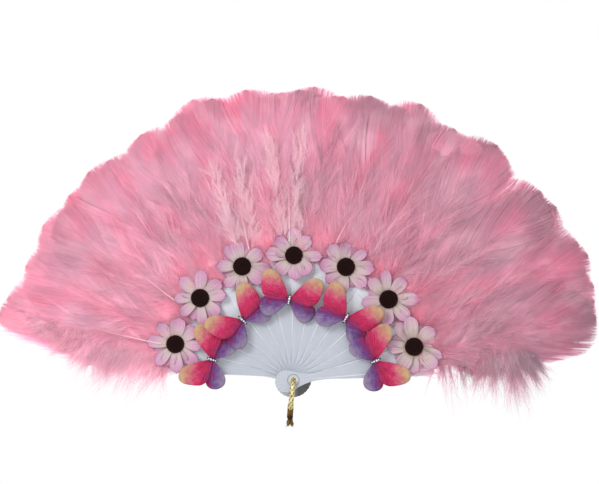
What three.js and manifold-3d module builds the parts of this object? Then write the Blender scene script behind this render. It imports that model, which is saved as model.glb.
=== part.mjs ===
// Folding feather fan: plastic sticks turn on one eyelet, and each carries a bundle of dyed feathers.
// Fabric daisies and butterflies are glued to the sticks, and a gold cord loop hangs from the eyelet.
// Millimetres, +Z up. The fan stands open and upright in the XZ plane, and its front faces -Y.
// The origin is on the pivot axis, in the middle of the stack of sticks.

import * as THREE from 'three';
import { mergeVertices } from 'three/addons/utils/BufferGeometryUtils.js';
import Module from 'manifold-3d';

const wasm = await Module();
wasm.setup();

// Clearance between pieces that touch
const GAP = 0.3;

// Stack of sticks
const FIRST_ANGLE = 9.5; // degrees of the front guard above +X
const STICK_STEP = 12.35; // degrees from one stick to the next
const STICK_THICKNESS = 1.4;
const GUARD_THICKNESS = 2.2;

// Outline of one stick, measured from the pivot along the stick
const TAIL_RADIUS = 9.5;
const TAIL_CENTRE = 6; // distance of the tail's centre behind the pivot
const NECK_AT = 19;
const NECK_HALF = 3.3;
const BLADE_AT = 42; // where the straight flare of the blade begins
const BLADE_FLARE = 0.136; // half width of the blade for each unit of distance
const BLADE_END = 116;
const BLADE_CORNER = 5;
const SEAT_AT = 88; // the blade is thinned from here on, to seat the quills
const HOLE_SIDES = 16;
const OUTLINE_STEPS = 4; // straight steps in each curve of the outline

// Eyelet through the stack
const BORE_RADIUS = 2.25;
const BARREL_RADIUS = 2.85;
const FLANGE_RADIUS = 4.6;
const FLANGE_THICKNESS = 0.6;
const ROUND_SIDES = 20;

// Feathers: distance from the pivot to the tips, and how much longer each stick's bundle is, front guard first
const FEATHER_REACH = 242;
const EXTRA_REACH = [15, 20, 16, 14, 8, 3, 1, 0, 4, 0, 0, 3, 0, 10];
const FEATHER_HALF = 28;
const FEATHER_SPLAY = 5; // degrees that each feather of a pair leans from the stick
const FIRST_LEAN = 6.5; // degrees that the bundles at both ends lean inwards
const LAST_LEAN = -8;
const SHORTER_FEATHER = 5; // how far the front feather of a pair ends below the back one
const QUILL_AT = 91; // where the quills begin, on the blade
const QUILL_WIDTH = 2.4;
const QUILL_THICKNESS = 0.4;
const QUILL_SPREAD = 2; // sideways distance of each quill at the binding
const BINDING_LENGTH = 6;
const BINDING_HALF = 4.6;
const VANE_THICKNESS = 0.45;
const RIB_THICKNESS = 0.65;
const RIB_TIP_WIDTH = 0.6;
const RIB_SHORT = 8; // how far the rib ends below the tip
const SPLITS = [[1, 0.42], [1, 0.78], [-1, 0.6]]; // side of the vane, share of its length
const SPLIT_DEPTH = 0.3;
const VANE_STEPS = 5;
const LOW_FEATHER_REACH = 214; // short downy feather below the front guard
const LOW_FEATHER_HALF = 18;
const LOW_FEATHER_SPLAY = -22;

// Daisies: one on every second stick
const DAISY_EVERY = 2;
const DAISY_AT = 103;
const DAISY_OFFSET = 6.2; // degrees from the middle of its stick
const DAISY_RADIUS = 24.5;
const DAISY_WAIST = 10; // radius at the slits between the petals
const DAISY_DISH = 3; // how far the petal tips rise
const PETAL_COUNT = 8;
const PETAL_THICKNESS = 0.6;
const PETAL_LIFT = 0.4; // clearance over the stick in front
const DAISY_STEM_RADIUS = 2.6;
const DAISY_TURN = 13; // degrees that each daisy is turned from the one before
const BUTTON_RADIUS = 7.8;
const BUTTON_HEIGHT = 3.4;

// Butterflies: each one's stick, how much further out it sits, degrees from the stick, and its head's direction
const BUTTERFLY_AT = 67;
const BUTTERFLIES = [
  { stick: 0, further: 2.1, offset: 4.4, head: 23 },
  { stick: 3, further: 0.2, offset: 3.7, head: 59 },
  { stick: 7, further: -0.6, offset: -2.7, head: 78 },
  { stick: 10, further: -2.2, offset: -2.4, head: 137 },
  { stick: 13, further: 2.7, offset: -3.2, head: 161 },
];
const WING_LIFT = 0.3; // clearance of the wings' roots over the daisy two sticks in front
const WING_THICKNESS = 0.5;
const UPPER_WING = 29;
const UPPER_WING_ANGLE = 50;
const LOWER_WING = 22;
const LOWER_WING_ANGLE = 121;
const UPPER_WING_TILT = 8; // degrees that the wing rises from its root
const LOWER_WING_TILT = -5;
const WING_STEPS = 3;
const WING_HUB_RADIUS = 2.6;
const WIRE_FOOT_RADIUS = 1.1;
const BODY_LENGTH = 12;
const BODY_RADIUS = 1.9;

// Cord loop through the eyelet: half of its route, as right, up and forward
const CORD_RADIUS = 1.9;
const CORD_SIDES = 8;
const CORD_END_SIDES = 6;
const CORD_STEPS = 36;
const CORD_ROUTE = [
  [0, 0, 0.5], [0, 0, 6], [0, 0, 12.3], [-0.1, -0.98, 15.95], [-0.4, -3.65, 18.6], [-0.8, -7.3, 19.6],
  [-1.4, -13, 19.5], [-2, -19.3, 18.4], [-2.5, -24.8, 15], [-2.8, -28.8, 9.8], [-2.9, -30.7, 5.1],
];
const CORD_LOWEST = [-2.9, -31.3, 0];
const TIE_LENGTH = 6.5;
const TIE_WALL = 0.8;
const CORD_END_LENGTH = 5.6;
const CORD_END_SPLAY = 14; // degrees of each cut end from straight down
const CORD_END_SHARE = 0.8; // width of a cut end under the tie, of the cord's own
const CORD_END_TIP = 1.1;

// Sizes that follow from the ones above
const STICK_COUNT = EXTRA_REACH.length;
const LAYER_PITCH = STICK_THICKNESS + GAP;
const STACK = 2 * GUARD_THICKNESS + (STICK_COUNT - 2) * STICK_THICKNESS + (STICK_COUNT - 1) * GAP;
const SEAT_DEPTH = QUILL_THICKNESS + GAP;
const FLANGE_POCKET = FLANGE_THICKNESS + GAP;
const HOLE_RADIUS = BARREL_RADIUS + GAP;
const BINDING_AT = BLADE_END + GAP;
const VANE_AT = BINDING_AT + BINDING_LENGTH / 2;
const PETAL_BACK = SEAT_DEPTH + LAYER_PITCH + PETAL_LIFT; // above the thinned blade
const DAISY_TOP = PETAL_BACK + DAISY_DISH + PETAL_THICKNESS - SEAT_DEPTH; // above the stick's face
const WING_HEIGHT = DAISY_TOP + 2 * LAYER_PITCH + WING_LIFT; // from the stick's face to the wings' roots
const HUB_TOP = WING_HEIGHT + 2 * WING_THICKNESS;

const rad = THREE.MathUtils.degToRad;

// Materials
function finish(color, roughness, metalness = 0) {
  return new THREE.MeshStandardMaterial({ color, roughness, metalness });
}
const whitePlastic = finish(0xe9ecf2, 0.35);
const pinkFeather = finish(0xe88fae, 0.9);
const lilacPetal = finish(0xd9bcd6, 0.85);
const darkFlock = finish(0x1d100f, 1);
const printedWing = finish(0xd05a7c, 0.7);
const silverStone = finish(0xc9ccd2, 0.2, 0.9);
const whiteLacquer = finish(0xe6e2da, 0.4);
const goldCord = finish(0xc79a3a, 0.4, 0.7);
const darkGold = finish(0x6d5320, 0.5, 0.6);

// Joining and cutting
function solid(geometry, place = new THREE.Matrix4()) {
  const bare = new THREE.BufferGeometry();
  bare.setAttribute('position', geometry.getAttribute('position').clone());
  if (geometry.index) bare.setIndex(geometry.index.clone());
  bare.applyMatrix4(place);
  const merged = mergeVertices(bare, 1e-4);
  return new wasm.Manifold(new wasm.Mesh({
    numProp: 3,
    vertProperties: new Float32Array(merged.getAttribute('position').array),
    triVerts: new Uint32Array(merged.index.array),
  }));
}

function geometryOf(manifold) {
  const { vertProperties, triVerts } = manifold.getMesh();
  const geometry = new THREE.BufferGeometry();
  geometry.setAttribute('position', new THREE.BufferAttribute(vertProperties, 3));
  geometry.setIndex(new THREE.BufferAttribute(triVerts, 1));
  geometry.computeVertexNormals();
  return geometry;
}

const joined = (solids) => geometryOf(solids.reduce((all, next) => all.add(next)));

function plate(shape, back, thickness, place = new THREE.Matrix4(), curveSegments = OUTLINE_STEPS) {
  const geometry = new THREE.ExtrudeGeometry(shape, { depth: thickness, bevelEnabled: false, curveSegments });
  return solid(geometry, place.clone().multiply(new THREE.Matrix4().makeTranslation(0, 0, back)));
}

function disc(radius, back, thickness, sides) {
  const geometry = new THREE.CylinderGeometry(radius, radius, thickness, sides);
  geometry.rotateX(Math.PI / 2);
  geometry.translate(0, 0, back + thickness / 2);
  return solid(geometry);
}

function bar(from, to, fromHalf, toHalf) {
  return new THREE.Shape([
    new THREE.Vector2(from, -fromHalf),
    new THREE.Vector2(to, -toHalf),
    new THREE.Vector2(to, toHalf),
    new THREE.Vector2(from, fromHalf),
  ]);
}

const turned = (degrees) => new THREE.Matrix4().makeRotationZ(rad(degrees));

// Sticks
const isGuard = (i) => i === 0 || i === STICK_COUNT - 1;
const thicknessOf = (i) => (isGuard(i) ? GUARD_THICKNESS : STICK_THICKNESS);
const angleOf = (i) => FIRST_ANGLE + STICK_STEP * i;

function backOf(i) {
  let front = STACK / 2;
  for (let before = 0; before < i; before += 1) front -= thicknessOf(before) + GAP;
  return front - thicknessOf(i);
}

function stickOutline() {
  const bladeHalf = BLADE_AT * BLADE_FLARE;
  const endHalf = BLADE_END * BLADE_FLARE;
  const shoulder = BLADE_END - BLADE_CORNER;
  const neckMiddle = (NECK_AT + BLADE_AT) / 2;
  const tailTurn = Math.PI / 3;
  const tailX = -TAIL_CENTRE + TAIL_RADIUS * Math.cos(tailTurn);
  const tailY = TAIL_RADIUS * Math.sin(tailTurn);
  const shape = new THREE.Shape();
  shape.moveTo(tailX, -tailY);
  shape.quadraticCurveTo(NECK_AT / 2, -NECK_HALF, NECK_AT, -NECK_HALF);
  shape.quadraticCurveTo(neckMiddle, -NECK_HALF, BLADE_AT, -bladeHalf);
  shape.lineTo(shoulder, -shoulder * BLADE_FLARE);
  shape.quadraticCurveTo(BLADE_END, -endHalf, BLADE_END, -endHalf + BLADE_CORNER);
  shape.lineTo(BLADE_END, endHalf - BLADE_CORNER);
  shape.quadraticCurveTo(BLADE_END, endHalf, shoulder, shoulder * BLADE_FLARE);
  shape.lineTo(BLADE_AT, bladeHalf);
  shape.quadraticCurveTo(neckMiddle, NECK_HALF, NECK_AT, NECK_HALF);
  shape.quadraticCurveTo(NECK_AT / 2, NECK_HALF, tailX, tailY);
  shape.absarc(-TAIL_CENTRE, 0, TAIL_RADIUS, tailTurn, 2 * Math.PI - tailTurn);
  return shape;
}

function stickGeometry(i) {
  const thickness = thicknessOf(i);
  const blade = plate(stickOutline(), 0, thickness);
  const seat = plate(bar(SEAT_AT, 2 * BLADE_END, BLADE_END, BLADE_END), thickness - SEAT_DEPTH, thickness);
  const hole = disc(HOLE_RADIUS, -thickness, 3 * thickness, HOLE_SIDES);
  let stick = blade.subtract(seat).subtract(hole);
  const pocketRadius = FLANGE_RADIUS + GAP;
  if (i === 0) {
    stick = stick.subtract(disc(pocketRadius, thickness - FLANGE_POCKET, thickness, ROUND_SIDES));
  }
  if (i === STICK_COUNT - 1) {
    stick = stick.subtract(disc(pocketRadius, FLANGE_POCKET - thickness, thickness, ROUND_SIDES));
  }
  return geometryOf(stick);
}

// Feathers: downy and wide over the lower half, with a blunt tip and a few splits
function vaneOutline(length, half) {
  const widthAt = (t) => half * (0.12 + 0.88 * (1 - Math.exp(-t / 0.09))) * (1 - 0.18 * t) * (1 - t ** 7) ** 0.5;
  const edge = (side) => {
    const points = [];
    for (let step = 0; step < VANE_STEPS; step += 1) {
      const t = step / VANE_STEPS;
      points.push([t, widthAt(t)]);
    }
    points.push([0.97, widthAt(0.97)]);
    for (const [splitSide, at] of SPLITS) {
      if (splitSide !== side) continue;
      points.push([at - 0.025, widthAt(at - 0.025)], [at, widthAt(at) * (1 - SPLIT_DEPTH)]);
      points.push([at + 0.012, widthAt(at + 0.012)]);
    }
    points.sort((a, b) => a[0] - b[0]);
    return points.map(([t, width]) => new THREE.Vector2(t * length, side * width));
  };
  return new THREE.Shape([...edge(-1), new THREE.Vector2(length, 0), ...edge(1).reverse()]);
}

// One feather of a bundle: level 0 lies at the back of the stick's layer and level 1 at its front
function feather(splay, side, reach, half, level, top) {
  const length = reach - VANE_AT;
  const place = new THREE.Matrix4().makeTranslation(VANE_AT, side * QUILL_SPREAD, 0).multiply(turned(splay));
  const ribBack = level === 1 ? top - RIB_THICKNESS : top - STICK_THICKNESS;
  const quillStart = QUILL_AT - VANE_AT;
  const quillEnd = BINDING_AT + BINDING_LENGTH - VANE_AT;
  return [
    plate(vaneOutline(length, half), ribBack, VANE_THICKNESS, place),
    plate(bar(0, length - RIB_SHORT, QUILL_WIDTH / 2, RIB_TIP_WIDTH / 2), ribBack, RIB_THICKNESS, place),
    plate(bar(quillStart, quillEnd, QUILL_WIDTH / 2, QUILL_WIDTH / 2), top - QUILL_THICKNESS, QUILL_THICKNESS, place),
  ];
}

function leanOf(i) {
  if (i === 0) return FIRST_LEAN;
  return i === STICK_COUNT - 1 ? LAST_LEAN : 0;
}

function feathersGeometry(i) {
  const top = thicknessOf(i);
  const reach = FEATHER_REACH + EXTRA_REACH[i];
  const binding = bar(BINDING_AT, BINDING_AT + BINDING_LENGTH, BINDING_HALF, BINDING_HALF);
  const pieces = [
    plate(binding, top - STICK_THICKNESS, STICK_THICKNESS),
    ...feather(leanOf(i) + FEATHER_SPLAY, 1, reach, FEATHER_HALF, 0, top),
    ...feather(leanOf(i) - FEATHER_SPLAY, -1, reach - SHORTER_FEATHER, FEATHER_HALF, 1, top),
  ];
  if (i === 0) pieces.push(...feather(LOW_FEATHER_SPLAY, -1, LOW_FEATHER_REACH, LOW_FEATHER_HALF, 0, top));
  return joined(pieces);
}

// Daisies: heights are measured from the thinned blade that the stem is glued to
const dishAt = (radius) => DAISY_DISH * (radius / DAISY_RADIUS) ** 2;

function petalsGeometry() {
  const perPetal = 4;
  const around = PETAL_COUNT * perPetal;
  const petalShape = [0, 0.9, 1, 0.9]; // share of the petal's length, from slit to slit
  const rings = [0, 0.55, 1];
  const rimAt = (a) => DAISY_WAIST + (DAISY_RADIUS - DAISY_WAIST) * petalShape[a % perPetal];
  const vertices = [];
  const index = [];
  const level = (lift) => {
    const first = vertices.length / 3;
    vertices.push(0, 0, PETAL_BACK + lift);
    for (let ring = 1; ring < rings.length; ring += 1) {
      for (let a = 0; a < around; a += 1) {
        const turn = (2 * Math.PI * a) / around;
        const radius = ring === 1 ? DAISY_WAIST * rings[1] : rimAt(a);
        vertices.push(radius * Math.cos(turn), radius * Math.sin(turn), PETAL_BACK + lift + dishAt(radius));
      }
    }
    return first;
  };
  const back = level(0);
  const front = level(PETAL_THICKNESS);
  for (let a = 0; a < around; a += 1) {
    const b = (a + 1) % around;
    for (const [base, flip] of [[front, false], [back, true]]) {
      const inner = base + 1;
      const outer = inner + around;
      const faces = [
        [base, inner + a, inner + b],
        [inner + a, outer + a, outer + b],
        [inner + a, outer + b, inner + b],
      ];
      for (const [p, q, r] of faces) index.push(...(flip ? [p, r, q] : [p, q, r]));
    }
    const rimBack = back + 1 + around;
    const rimFront = front + 1 + around;
    index.push(rimBack + a, rimBack + b, rimFront + b, rimBack + a, rimFront + b, rimFront + a);
  }
  const head = new THREE.BufferGeometry();
  head.setAttribute('position', new THREE.Float32BufferAttribute(vertices, 3));
  head.setIndex(index);
  const stem = disc(DAISY_STEM_RADIUS, GAP, PETAL_BACK + PETAL_THICKNESS / 2 - GAP, 10);
  return joined([solid(head), stem]);
}

function buttonGeometry() {
  const base = PETAL_BACK + PETAL_THICKNESS + dishAt(BUTTON_RADIUS) + GAP;
  const profile = [new THREE.Vector2(0, base), new THREE.Vector2(BUTTON_RADIUS * 0.94, base)];
  for (const lift of [0.15, 0.4, 0.65]) {
    const turn = (lift * Math.PI) / 2;
    const height = base + BUTTON_HEIGHT * (0.25 + 0.75 * Math.sin(turn));
    profile.push(new THREE.Vector2(BUTTON_RADIUS * Math.cos(turn * 0.9), height));
  }
  profile.push(new THREE.Vector2(0, base + BUTTON_HEIGHT));
  return new THREE.LatheGeometry(profile, 12).rotateX(Math.PI / 2);
}

// Butterflies: +x is the direction of the head, and heights are measured from the stick's face
function wingOutline(length, root) {
  const shape = new THREE.Shape();
  shape.moveTo(0, -root);
  shape.bezierCurveTo(length * 0.3, -length * 0.2, length * 0.6, -length * 0.42, length * 0.9, -length * 0.3);
  shape.bezierCurveTo(length * 1.03, -length * 0.16, length * 1.03, length * 0.16, length * 0.9, length * 0.3);
  shape.bezierCurveTo(length * 0.6, length * 0.42, length * 0.3, length * 0.2, 0, root);
  return shape;
}

function wingsGeometry() {
  const hubBack = WING_HEIGHT - WING_THICKNESS;
  const pieces = [
    disc(WIRE_FOOT_RADIUS, GAP, WING_HEIGHT - GAP, 8),
    disc(WING_HUB_RADIUS, hubBack, HUB_TOP - hubBack, 10),
  ];
  const wings = [
    [UPPER_WING, UPPER_WING_ANGLE, UPPER_WING_TILT],
    [LOWER_WING, LOWER_WING_ANGLE, LOWER_WING_TILT],
  ];
  for (const [length, angle, tilt] of wings) {
    for (const side of [1, -1]) {
      const lifted = new THREE.Matrix4().makeTranslation(0, 0, WING_HEIGHT);
      const tilted = new THREE.Matrix4().makeRotationY(-rad(tilt));
      const place = lifted.multiply(turned(side * angle)).multiply(tilted);
      pieces.push(plate(wingOutline(length, WING_HUB_RADIUS / 2), 0, WING_THICKNESS, place, WING_STEPS));
    }
  }
  return joined(pieces);
}

function bodyGeometry() {
  const share = [[0, 0], [0.5, 0.04], [0.62, 0.12], [0.4, 0.22], [1, 0.34], [1, 0.44], [0.55, 0.54],
    [0.75, 0.66], [0.45, 0.88], [0, 1]];
  const profile = share.map(([radius, along]) => new THREE.Vector2(BODY_RADIUS * radius, BODY_LENGTH * along));
  const geometry = new THREE.LatheGeometry(profile, 6);
  geometry.rotateZ(Math.PI / 2);
  geometry.translate(BODY_LENGTH * 0.4, 0, HUB_TOP + BODY_RADIUS + GAP);
  return geometry;
}

// Eyelet, washer and cord
function ring(inner, outer, back, thickness, sides = ROUND_SIDES) {
  const profile = [
    new THREE.Vector2(inner, back),
    new THREE.Vector2(outer, back),
    new THREE.Vector2(outer, back + thickness),
    new THREE.Vector2(inner, back + thickness),
    new THREE.Vector2(inner, back),
  ];
  return new THREE.LatheGeometry(profile, sides).rotateX(Math.PI / 2);
}

function eyeletGeometry() {
  const flangeBack = STACK / 2 - FLANGE_THICKNESS;
  const barrel = ring(BORE_RADIUS, BARREL_RADIUS, -STACK / 2, STACK);
  const flange = ring(BORE_RADIUS, FLANGE_RADIUS, flangeBack, FLANGE_THICKNESS);
  return joined([solid(barrel), solid(flange)]);
}

const cordPoint = ([right, up, forward]) => new THREE.Vector3(right, up, forward);
const mirrored = ([right, up, forward]) => [right, up, -forward];

function cordGeometry() {
  const route = [...CORD_ROUTE, CORD_LOWEST, ...CORD_ROUTE.map(mirrored).reverse()];
  const section = new THREE.Shape();
  section.absarc(0, 0, CORD_RADIUS, 0, 2 * Math.PI);
  return new THREE.ExtrudeGeometry(section, {
    extrudePath: new THREE.CatmullRomCurve3(route.map(cordPoint), false, 'centripetal'),
    steps: CORD_STEPS,
    curveSegments: CORD_SIDES / 2,
    bevelEnabled: false,
  });
}

function tieGeometry() {
  const inner = CORD_RADIUS + GAP;
  const outer = inner + TIE_WALL;
  const pieces = [solid(ring(inner, outer, -TIE_LENGTH / 2, TIE_LENGTH, 2 * CORD_END_SIDES))];
  for (const side of [1, -1]) {
    const width = CORD_RADIUS * CORD_END_SHARE;
    const end = new THREE.CylinderGeometry(width, CORD_END_TIP, CORD_END_LENGTH, CORD_END_SIDES);
    end.translate(0, -(inner + outer) / 2 - CORD_END_LENGTH / 2, 0);
    pieces.push(solid(end, turned(side * CORD_END_SPLAY)));
  }
  return joined(pieces);
}

// Assembly: right, up and forward in the fan's own sheet become +X, +Z and -Y
const fan = new THREE.Group();
fan.rotation.x = Math.PI / 2;

function add(parent, name, geometry, material) {
  const mesh = new THREE.Mesh(geometry, material);
  mesh.name = name;
  parent.add(mesh);
  return mesh;
}

function glued(stick, at, offset, height, turn) {
  const group = new THREE.Group();
  group.position.set(at * Math.cos(rad(offset)), at * Math.sin(rad(offset)), height);
  group.rotation.z = rad(turn);
  stick.add(group);
  return group;
}

function stickName(i) {
  if (i === 0) return 'front_guard';
  if (i === STICK_COUNT - 1) return 'back_guard';
  return `stick_${String(i + 1).padStart(2, '0')}`;
}

const sticks = [];
for (let i = 0; i < STICK_COUNT; i += 1) {
  const stick = new THREE.Group();
  stick.position.z = backOf(i);
  stick.rotation.z = rad(angleOf(i));
  fan.add(stick);
  sticks.push(stick);
  add(stick, stickName(i), stickGeometry(i), whitePlastic);
  add(stick, `feathers_${String(i + 1).padStart(2, '0')}`, feathersGeometry(i), pinkFeather);
}

for (let i = 0, daisy = 1; i < STICK_COUNT; i += DAISY_EVERY, daisy += 1) {
  const place = glued(sticks[i], DAISY_AT, DAISY_OFFSET, thicknessOf(i) - SEAT_DEPTH, DAISY_TURN * daisy);
  add(place, `daisy_petals_${daisy}`, petalsGeometry(), lilacPetal);
  add(place, `daisy_centre_${daisy}`, buttonGeometry(), darkFlock);
}

BUTTERFLIES.forEach(({ stick, further, offset, head }, count) => {
  const at = BUTTERFLY_AT + further;
  const place = glued(sticks[stick], at, offset, thicknessOf(stick), head - angleOf(stick));
  add(place, `butterfly_wings_${count + 1}`, wingsGeometry(), printedWing);
  add(place, `butterfly_body_${count + 1}`, bodyGeometry(), silverStone);
});

add(fan, 'pivot_eyelet', eyeletGeometry(), whiteLacquer);
const washerBack = -STACK / 2;
add(fan, 'pivot_washer', ring(HOLE_RADIUS, FLANGE_RADIUS, washerBack, FLANGE_THICKNESS), whiteLacquer);
add(fan, 'loop_cord', cordGeometry(), goldCord);
add(fan, 'loop_tie', tieGeometry(), darkGold).position.copy(cordPoint(CORD_LOWEST));

export default fan;
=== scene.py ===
"""A folding feather fan: white sticks on an eyelet, dyed feathers, daisies, butterflies and a gold cord.

Metres, +Z up. The open fan stands in the XZ plane with its front to -Y and its pivot at the origin.
"""

import math

import bpy
import numpy as np
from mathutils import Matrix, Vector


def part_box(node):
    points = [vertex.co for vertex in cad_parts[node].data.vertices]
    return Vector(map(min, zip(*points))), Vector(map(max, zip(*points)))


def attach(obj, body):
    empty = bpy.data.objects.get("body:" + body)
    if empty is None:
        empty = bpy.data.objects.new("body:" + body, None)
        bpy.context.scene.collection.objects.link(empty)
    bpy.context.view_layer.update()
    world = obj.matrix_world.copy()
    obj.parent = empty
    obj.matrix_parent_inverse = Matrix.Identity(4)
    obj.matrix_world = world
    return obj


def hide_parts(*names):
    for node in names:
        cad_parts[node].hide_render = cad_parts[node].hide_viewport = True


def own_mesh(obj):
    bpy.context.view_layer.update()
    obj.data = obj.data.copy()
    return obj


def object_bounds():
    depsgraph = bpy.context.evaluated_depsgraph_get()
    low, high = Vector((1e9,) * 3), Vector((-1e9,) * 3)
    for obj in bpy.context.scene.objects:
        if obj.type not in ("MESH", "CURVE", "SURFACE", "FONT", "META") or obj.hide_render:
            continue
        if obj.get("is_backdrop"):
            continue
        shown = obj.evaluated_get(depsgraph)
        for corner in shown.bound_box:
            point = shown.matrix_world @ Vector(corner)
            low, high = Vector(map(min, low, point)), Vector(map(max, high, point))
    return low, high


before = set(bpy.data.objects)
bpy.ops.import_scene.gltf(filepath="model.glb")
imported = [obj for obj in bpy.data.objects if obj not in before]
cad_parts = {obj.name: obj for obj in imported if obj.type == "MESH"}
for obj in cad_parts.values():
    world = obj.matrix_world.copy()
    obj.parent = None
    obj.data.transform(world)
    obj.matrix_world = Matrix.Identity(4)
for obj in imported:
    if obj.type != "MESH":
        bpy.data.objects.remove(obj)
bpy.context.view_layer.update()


# Sticks: twelve thin blades and two thicker guards, moulded in white polystyrene, each with a round tail,
# a slim neck and a flaring blade. Their edges are softened, and faint flow lines run out from the pivot.
STICK_EDGE = 0.00032
SHARP_EDGE = math.radians(40)  # edges that turn more than this are softened
SAME_POINT = 1e-6
FAR_SHARE = 0.8  # of a stick's length, beyond which its corners give its direction
EDGE_HIGHLIGHT_SHARE = 0.06  # share of the step from stick to stick that carries a painted highlight along each blade's left edge
TAIL = (0.0, -0.003)  # heights below the pivot between which the painted shade on the tails begins
STACK = (-0.0105, -0.0101)  # depths behind the front guard between which that painted shade begins
RIGHT_OF_CORD = (-0.003, 0.004)
LIT_OUTER_END = (0.058, 0.08)  # distances from the pivot between which the blades turn paler: painted light that lifts the shade cast by the flowers and butterflies


def shade(red, green, blue):
    """A colour as the eye sees it, 0 to 255 for each part, as a shader's linear colour."""
    parts = [part / 255 for part in (red, green, blue)]
    linear = [part / 12.92 if part <= 0.04045 else ((part + 0.055) / 1.055) ** 2.4 for part in parts]
    return (*linear, 1.0)


def material(name):
    """A new material, its node tree and its shader."""
    made = bpy.data.materials.new(name)
    made.use_nodes = True
    return made, made.node_tree, made.node_tree.nodes["Principled BSDF"]


def node(tree, kind, inputs=None, **settings):
    """A shader node with its settings, and each input set to a value or linked to a socket."""
    made = tree.nodes.new("ShaderNode" + kind)
    for name, value in settings.items():
        setattr(made, name, value)
    feed(tree, made, inputs or {})
    return made


def feed(tree, made, inputs):
    for name, value in inputs.items():
        if isinstance(value, bpy.types.NodeSocket):
            tree.links.new(value, made.inputs[name])
        else:
            made.inputs[name].default_value = value


def value_of(tree, operation, first, second=0.0, third=0.0):
    return node(tree, "Math", {0: first, 1: second, 2: third}, operation=operation).outputs[0]


def mix(tree, factor, first, second):
    """The first colour at factor 0 and the second at 1."""
    made = node(tree, "Mix", {0: factor, 6: first, 7: second}, data_type="RGBA")
    return made.outputs[2]


def span(tree, value, low, high, first=0.0, second=1.0):
    """A value between low and high, carried over to the span from first to second."""
    inputs = {"Value": value, "From Min": low, "From Max": high, "To Min": first, "To Max": second}
    return node(tree, "MapRange", inputs).outputs["Result"]


def clouds(tree, scale, detail=3.0, roughness=0.5, place=None):
    """Soft noise, from 0 to 1, with so many waves in a metre, over the piece or over another place."""
    place = place or node(tree, "TexCoord").outputs["Object"]
    inputs = {"Vector": place, "Scale": scale, "Detail": detail, "Roughness": roughness}
    return node(tree, "TexNoise", inputs).outputs["Fac"]


def streaks_along(tree, place, scale, detail):
    """Noise, from 0 to 1, that changes in one direction only."""
    inputs = {"W": place, "Scale": scale, "Detail": detail}
    return node(tree, "TexNoise", inputs, noise_dimensions="1D").outputs["Fac"]


def bumped(tree, height, strength, depth):
    """A normal that shows a height, with a depth in metres."""
    inputs = {"Height": height, "Strength": strength, "Distance": depth}
    return node(tree, "Bump", inputs).outputs["Normal"]


def round_pivot(tree):
    """The place of a point on a piece, its turn round the pivot and its distance from it."""
    place = node(tree, "SeparateXYZ", {0: node(tree, "TexCoord").outputs["Object"]}).outputs
    turn = value_of(tree, "ARCTAN2", place["Z"], place["X"])
    flat = node(tree, "CombineXYZ", {"X": place["X"], "Y": place["Z"]}).outputs[0]
    return place, turn, node(tree, "VectorMath", {0: flat}, operation="LENGTH").outputs["Value"]


def mottle_effect():
    """A group that varies a colour in soft patches, and puts out the patches as a height."""
    tree = bpy.data.node_groups.new("Mottle", "ShaderNodeTree")
    sockets = [
        ("Color", "INPUT", "NodeSocketColor"),
        ("Scale", "INPUT", "NodeSocketFloat"),
        ("Amount", "INPUT", "NodeSocketFloat"),
        ("Color", "OUTPUT", "NodeSocketColor"),
        ("Height", "OUTPUT", "NodeSocketFloat"),
    ]
    for name, way, kind in sockets:
        tree.interface.new_socket(name=name, in_out=way, socket_type=kind)
    given = tree.nodes.new("NodeGroupInput").outputs
    noise = clouds(tree, given["Scale"], 5.0)
    swing = value_of(tree, "MULTIPLY", value_of(tree, "SUBTRACT", noise, 0.5), given["Amount"])
    level = value_of(tree, "ADD", swing, 1.0)
    varied = node(tree, "VectorMath", {0: given["Color"], "Scale": level}, operation="SCALE").outputs[0]
    out = tree.nodes.new("NodeGroupOutput")
    feed(tree, out, {"Color": varied, "Height": noise})
    return tree


mottle = mottle_effect()


def mottled(tree, colour, scale, amount):
    made = node(tree, "Group", {"Color": colour, "Scale": scale, "Amount": amount}, node_tree=mottle)
    return made.outputs["Color"], made.outputs["Height"]


def corners_of(name):
    """The corners of a CAD node and their distances from the pivot."""
    corners = np.array([vertex.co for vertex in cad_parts[name].data.vertices])
    return corners, np.hypot(corners[:, 0], corners[:, 2])


def far_corners(name):
    corners, distance = corners_of(name)
    return corners[distance > FAR_SHARE * distance.max()]


def left_edge(name):
    """The direction of a blade's left edge, which the stick in front of it leaves open."""
    blade = far_corners(name)
    return float(np.arctan2(blade[:, 2], blade[:, 0]).max())


def white_plastic(first_edge, step):
    made, tree, shader = material("white_plastic")
    place, turn, radius = round_pivot(tree)
    flow = streaks_along(tree, turn, 45.0, 4.0)
    tone = mix(tree, flow, shade(166, 172, 184), shade(194, 199, 209))
    # Painted light: the blades pale towards their outer ends, lifting the shade that the flowers and
    # butterflies cast there.
    outer = mix(tree, flow, shade(216, 220, 231), shade(232, 235, 243))
    tone = mix(tree, span(tree, radius, *LIT_OUTER_END), tone, outer)
    # Painted highlight: a thin pale line along each blade's left edge, where light would catch it.
    steps = value_of(tree, "DIVIDE", value_of(tree, "SUBTRACT", turn, first_edge), step)
    phase = value_of(tree, "FRACT", steps)
    tone = mix(tree, span(tree, phase, 1 - EDGE_HIGHLIGHT_SHARE, 1.0), tone, shade(250, 251, 255))
    # Painted shade: the tails behind the front guard, below the pivot and right of the cord, are darkened
    # as if in the guard's shadow.
    painted_tail_shade = value_of(tree, "MULTIPLY", span(tree, place["Z"], *TAIL), span(tree, place["Y"], *STACK))
    painted_tail_shade = value_of(tree, "MULTIPLY", painted_tail_shade, span(tree, place["X"], *RIGHT_OF_CORD))
    tone = mix(tree, painted_tail_shade, tone, shade(84, 83, 82))
    colour, height = mottled(tree, tone, 160.0, 0.1)
    feed(tree, shader, {
        "Base Color": colour,
        "Roughness": span(tree, flow, 0.3, 0.7, 0.3, 0.42),
        "Normal": bumped(tree, value_of(tree, "ADD", height, flow), 0.08, 0.0004),
        "Subsurface Weight": 0.08,
        "Subsurface Radius": (0.001, 0.001, 0.001),
    })
    return made


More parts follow.
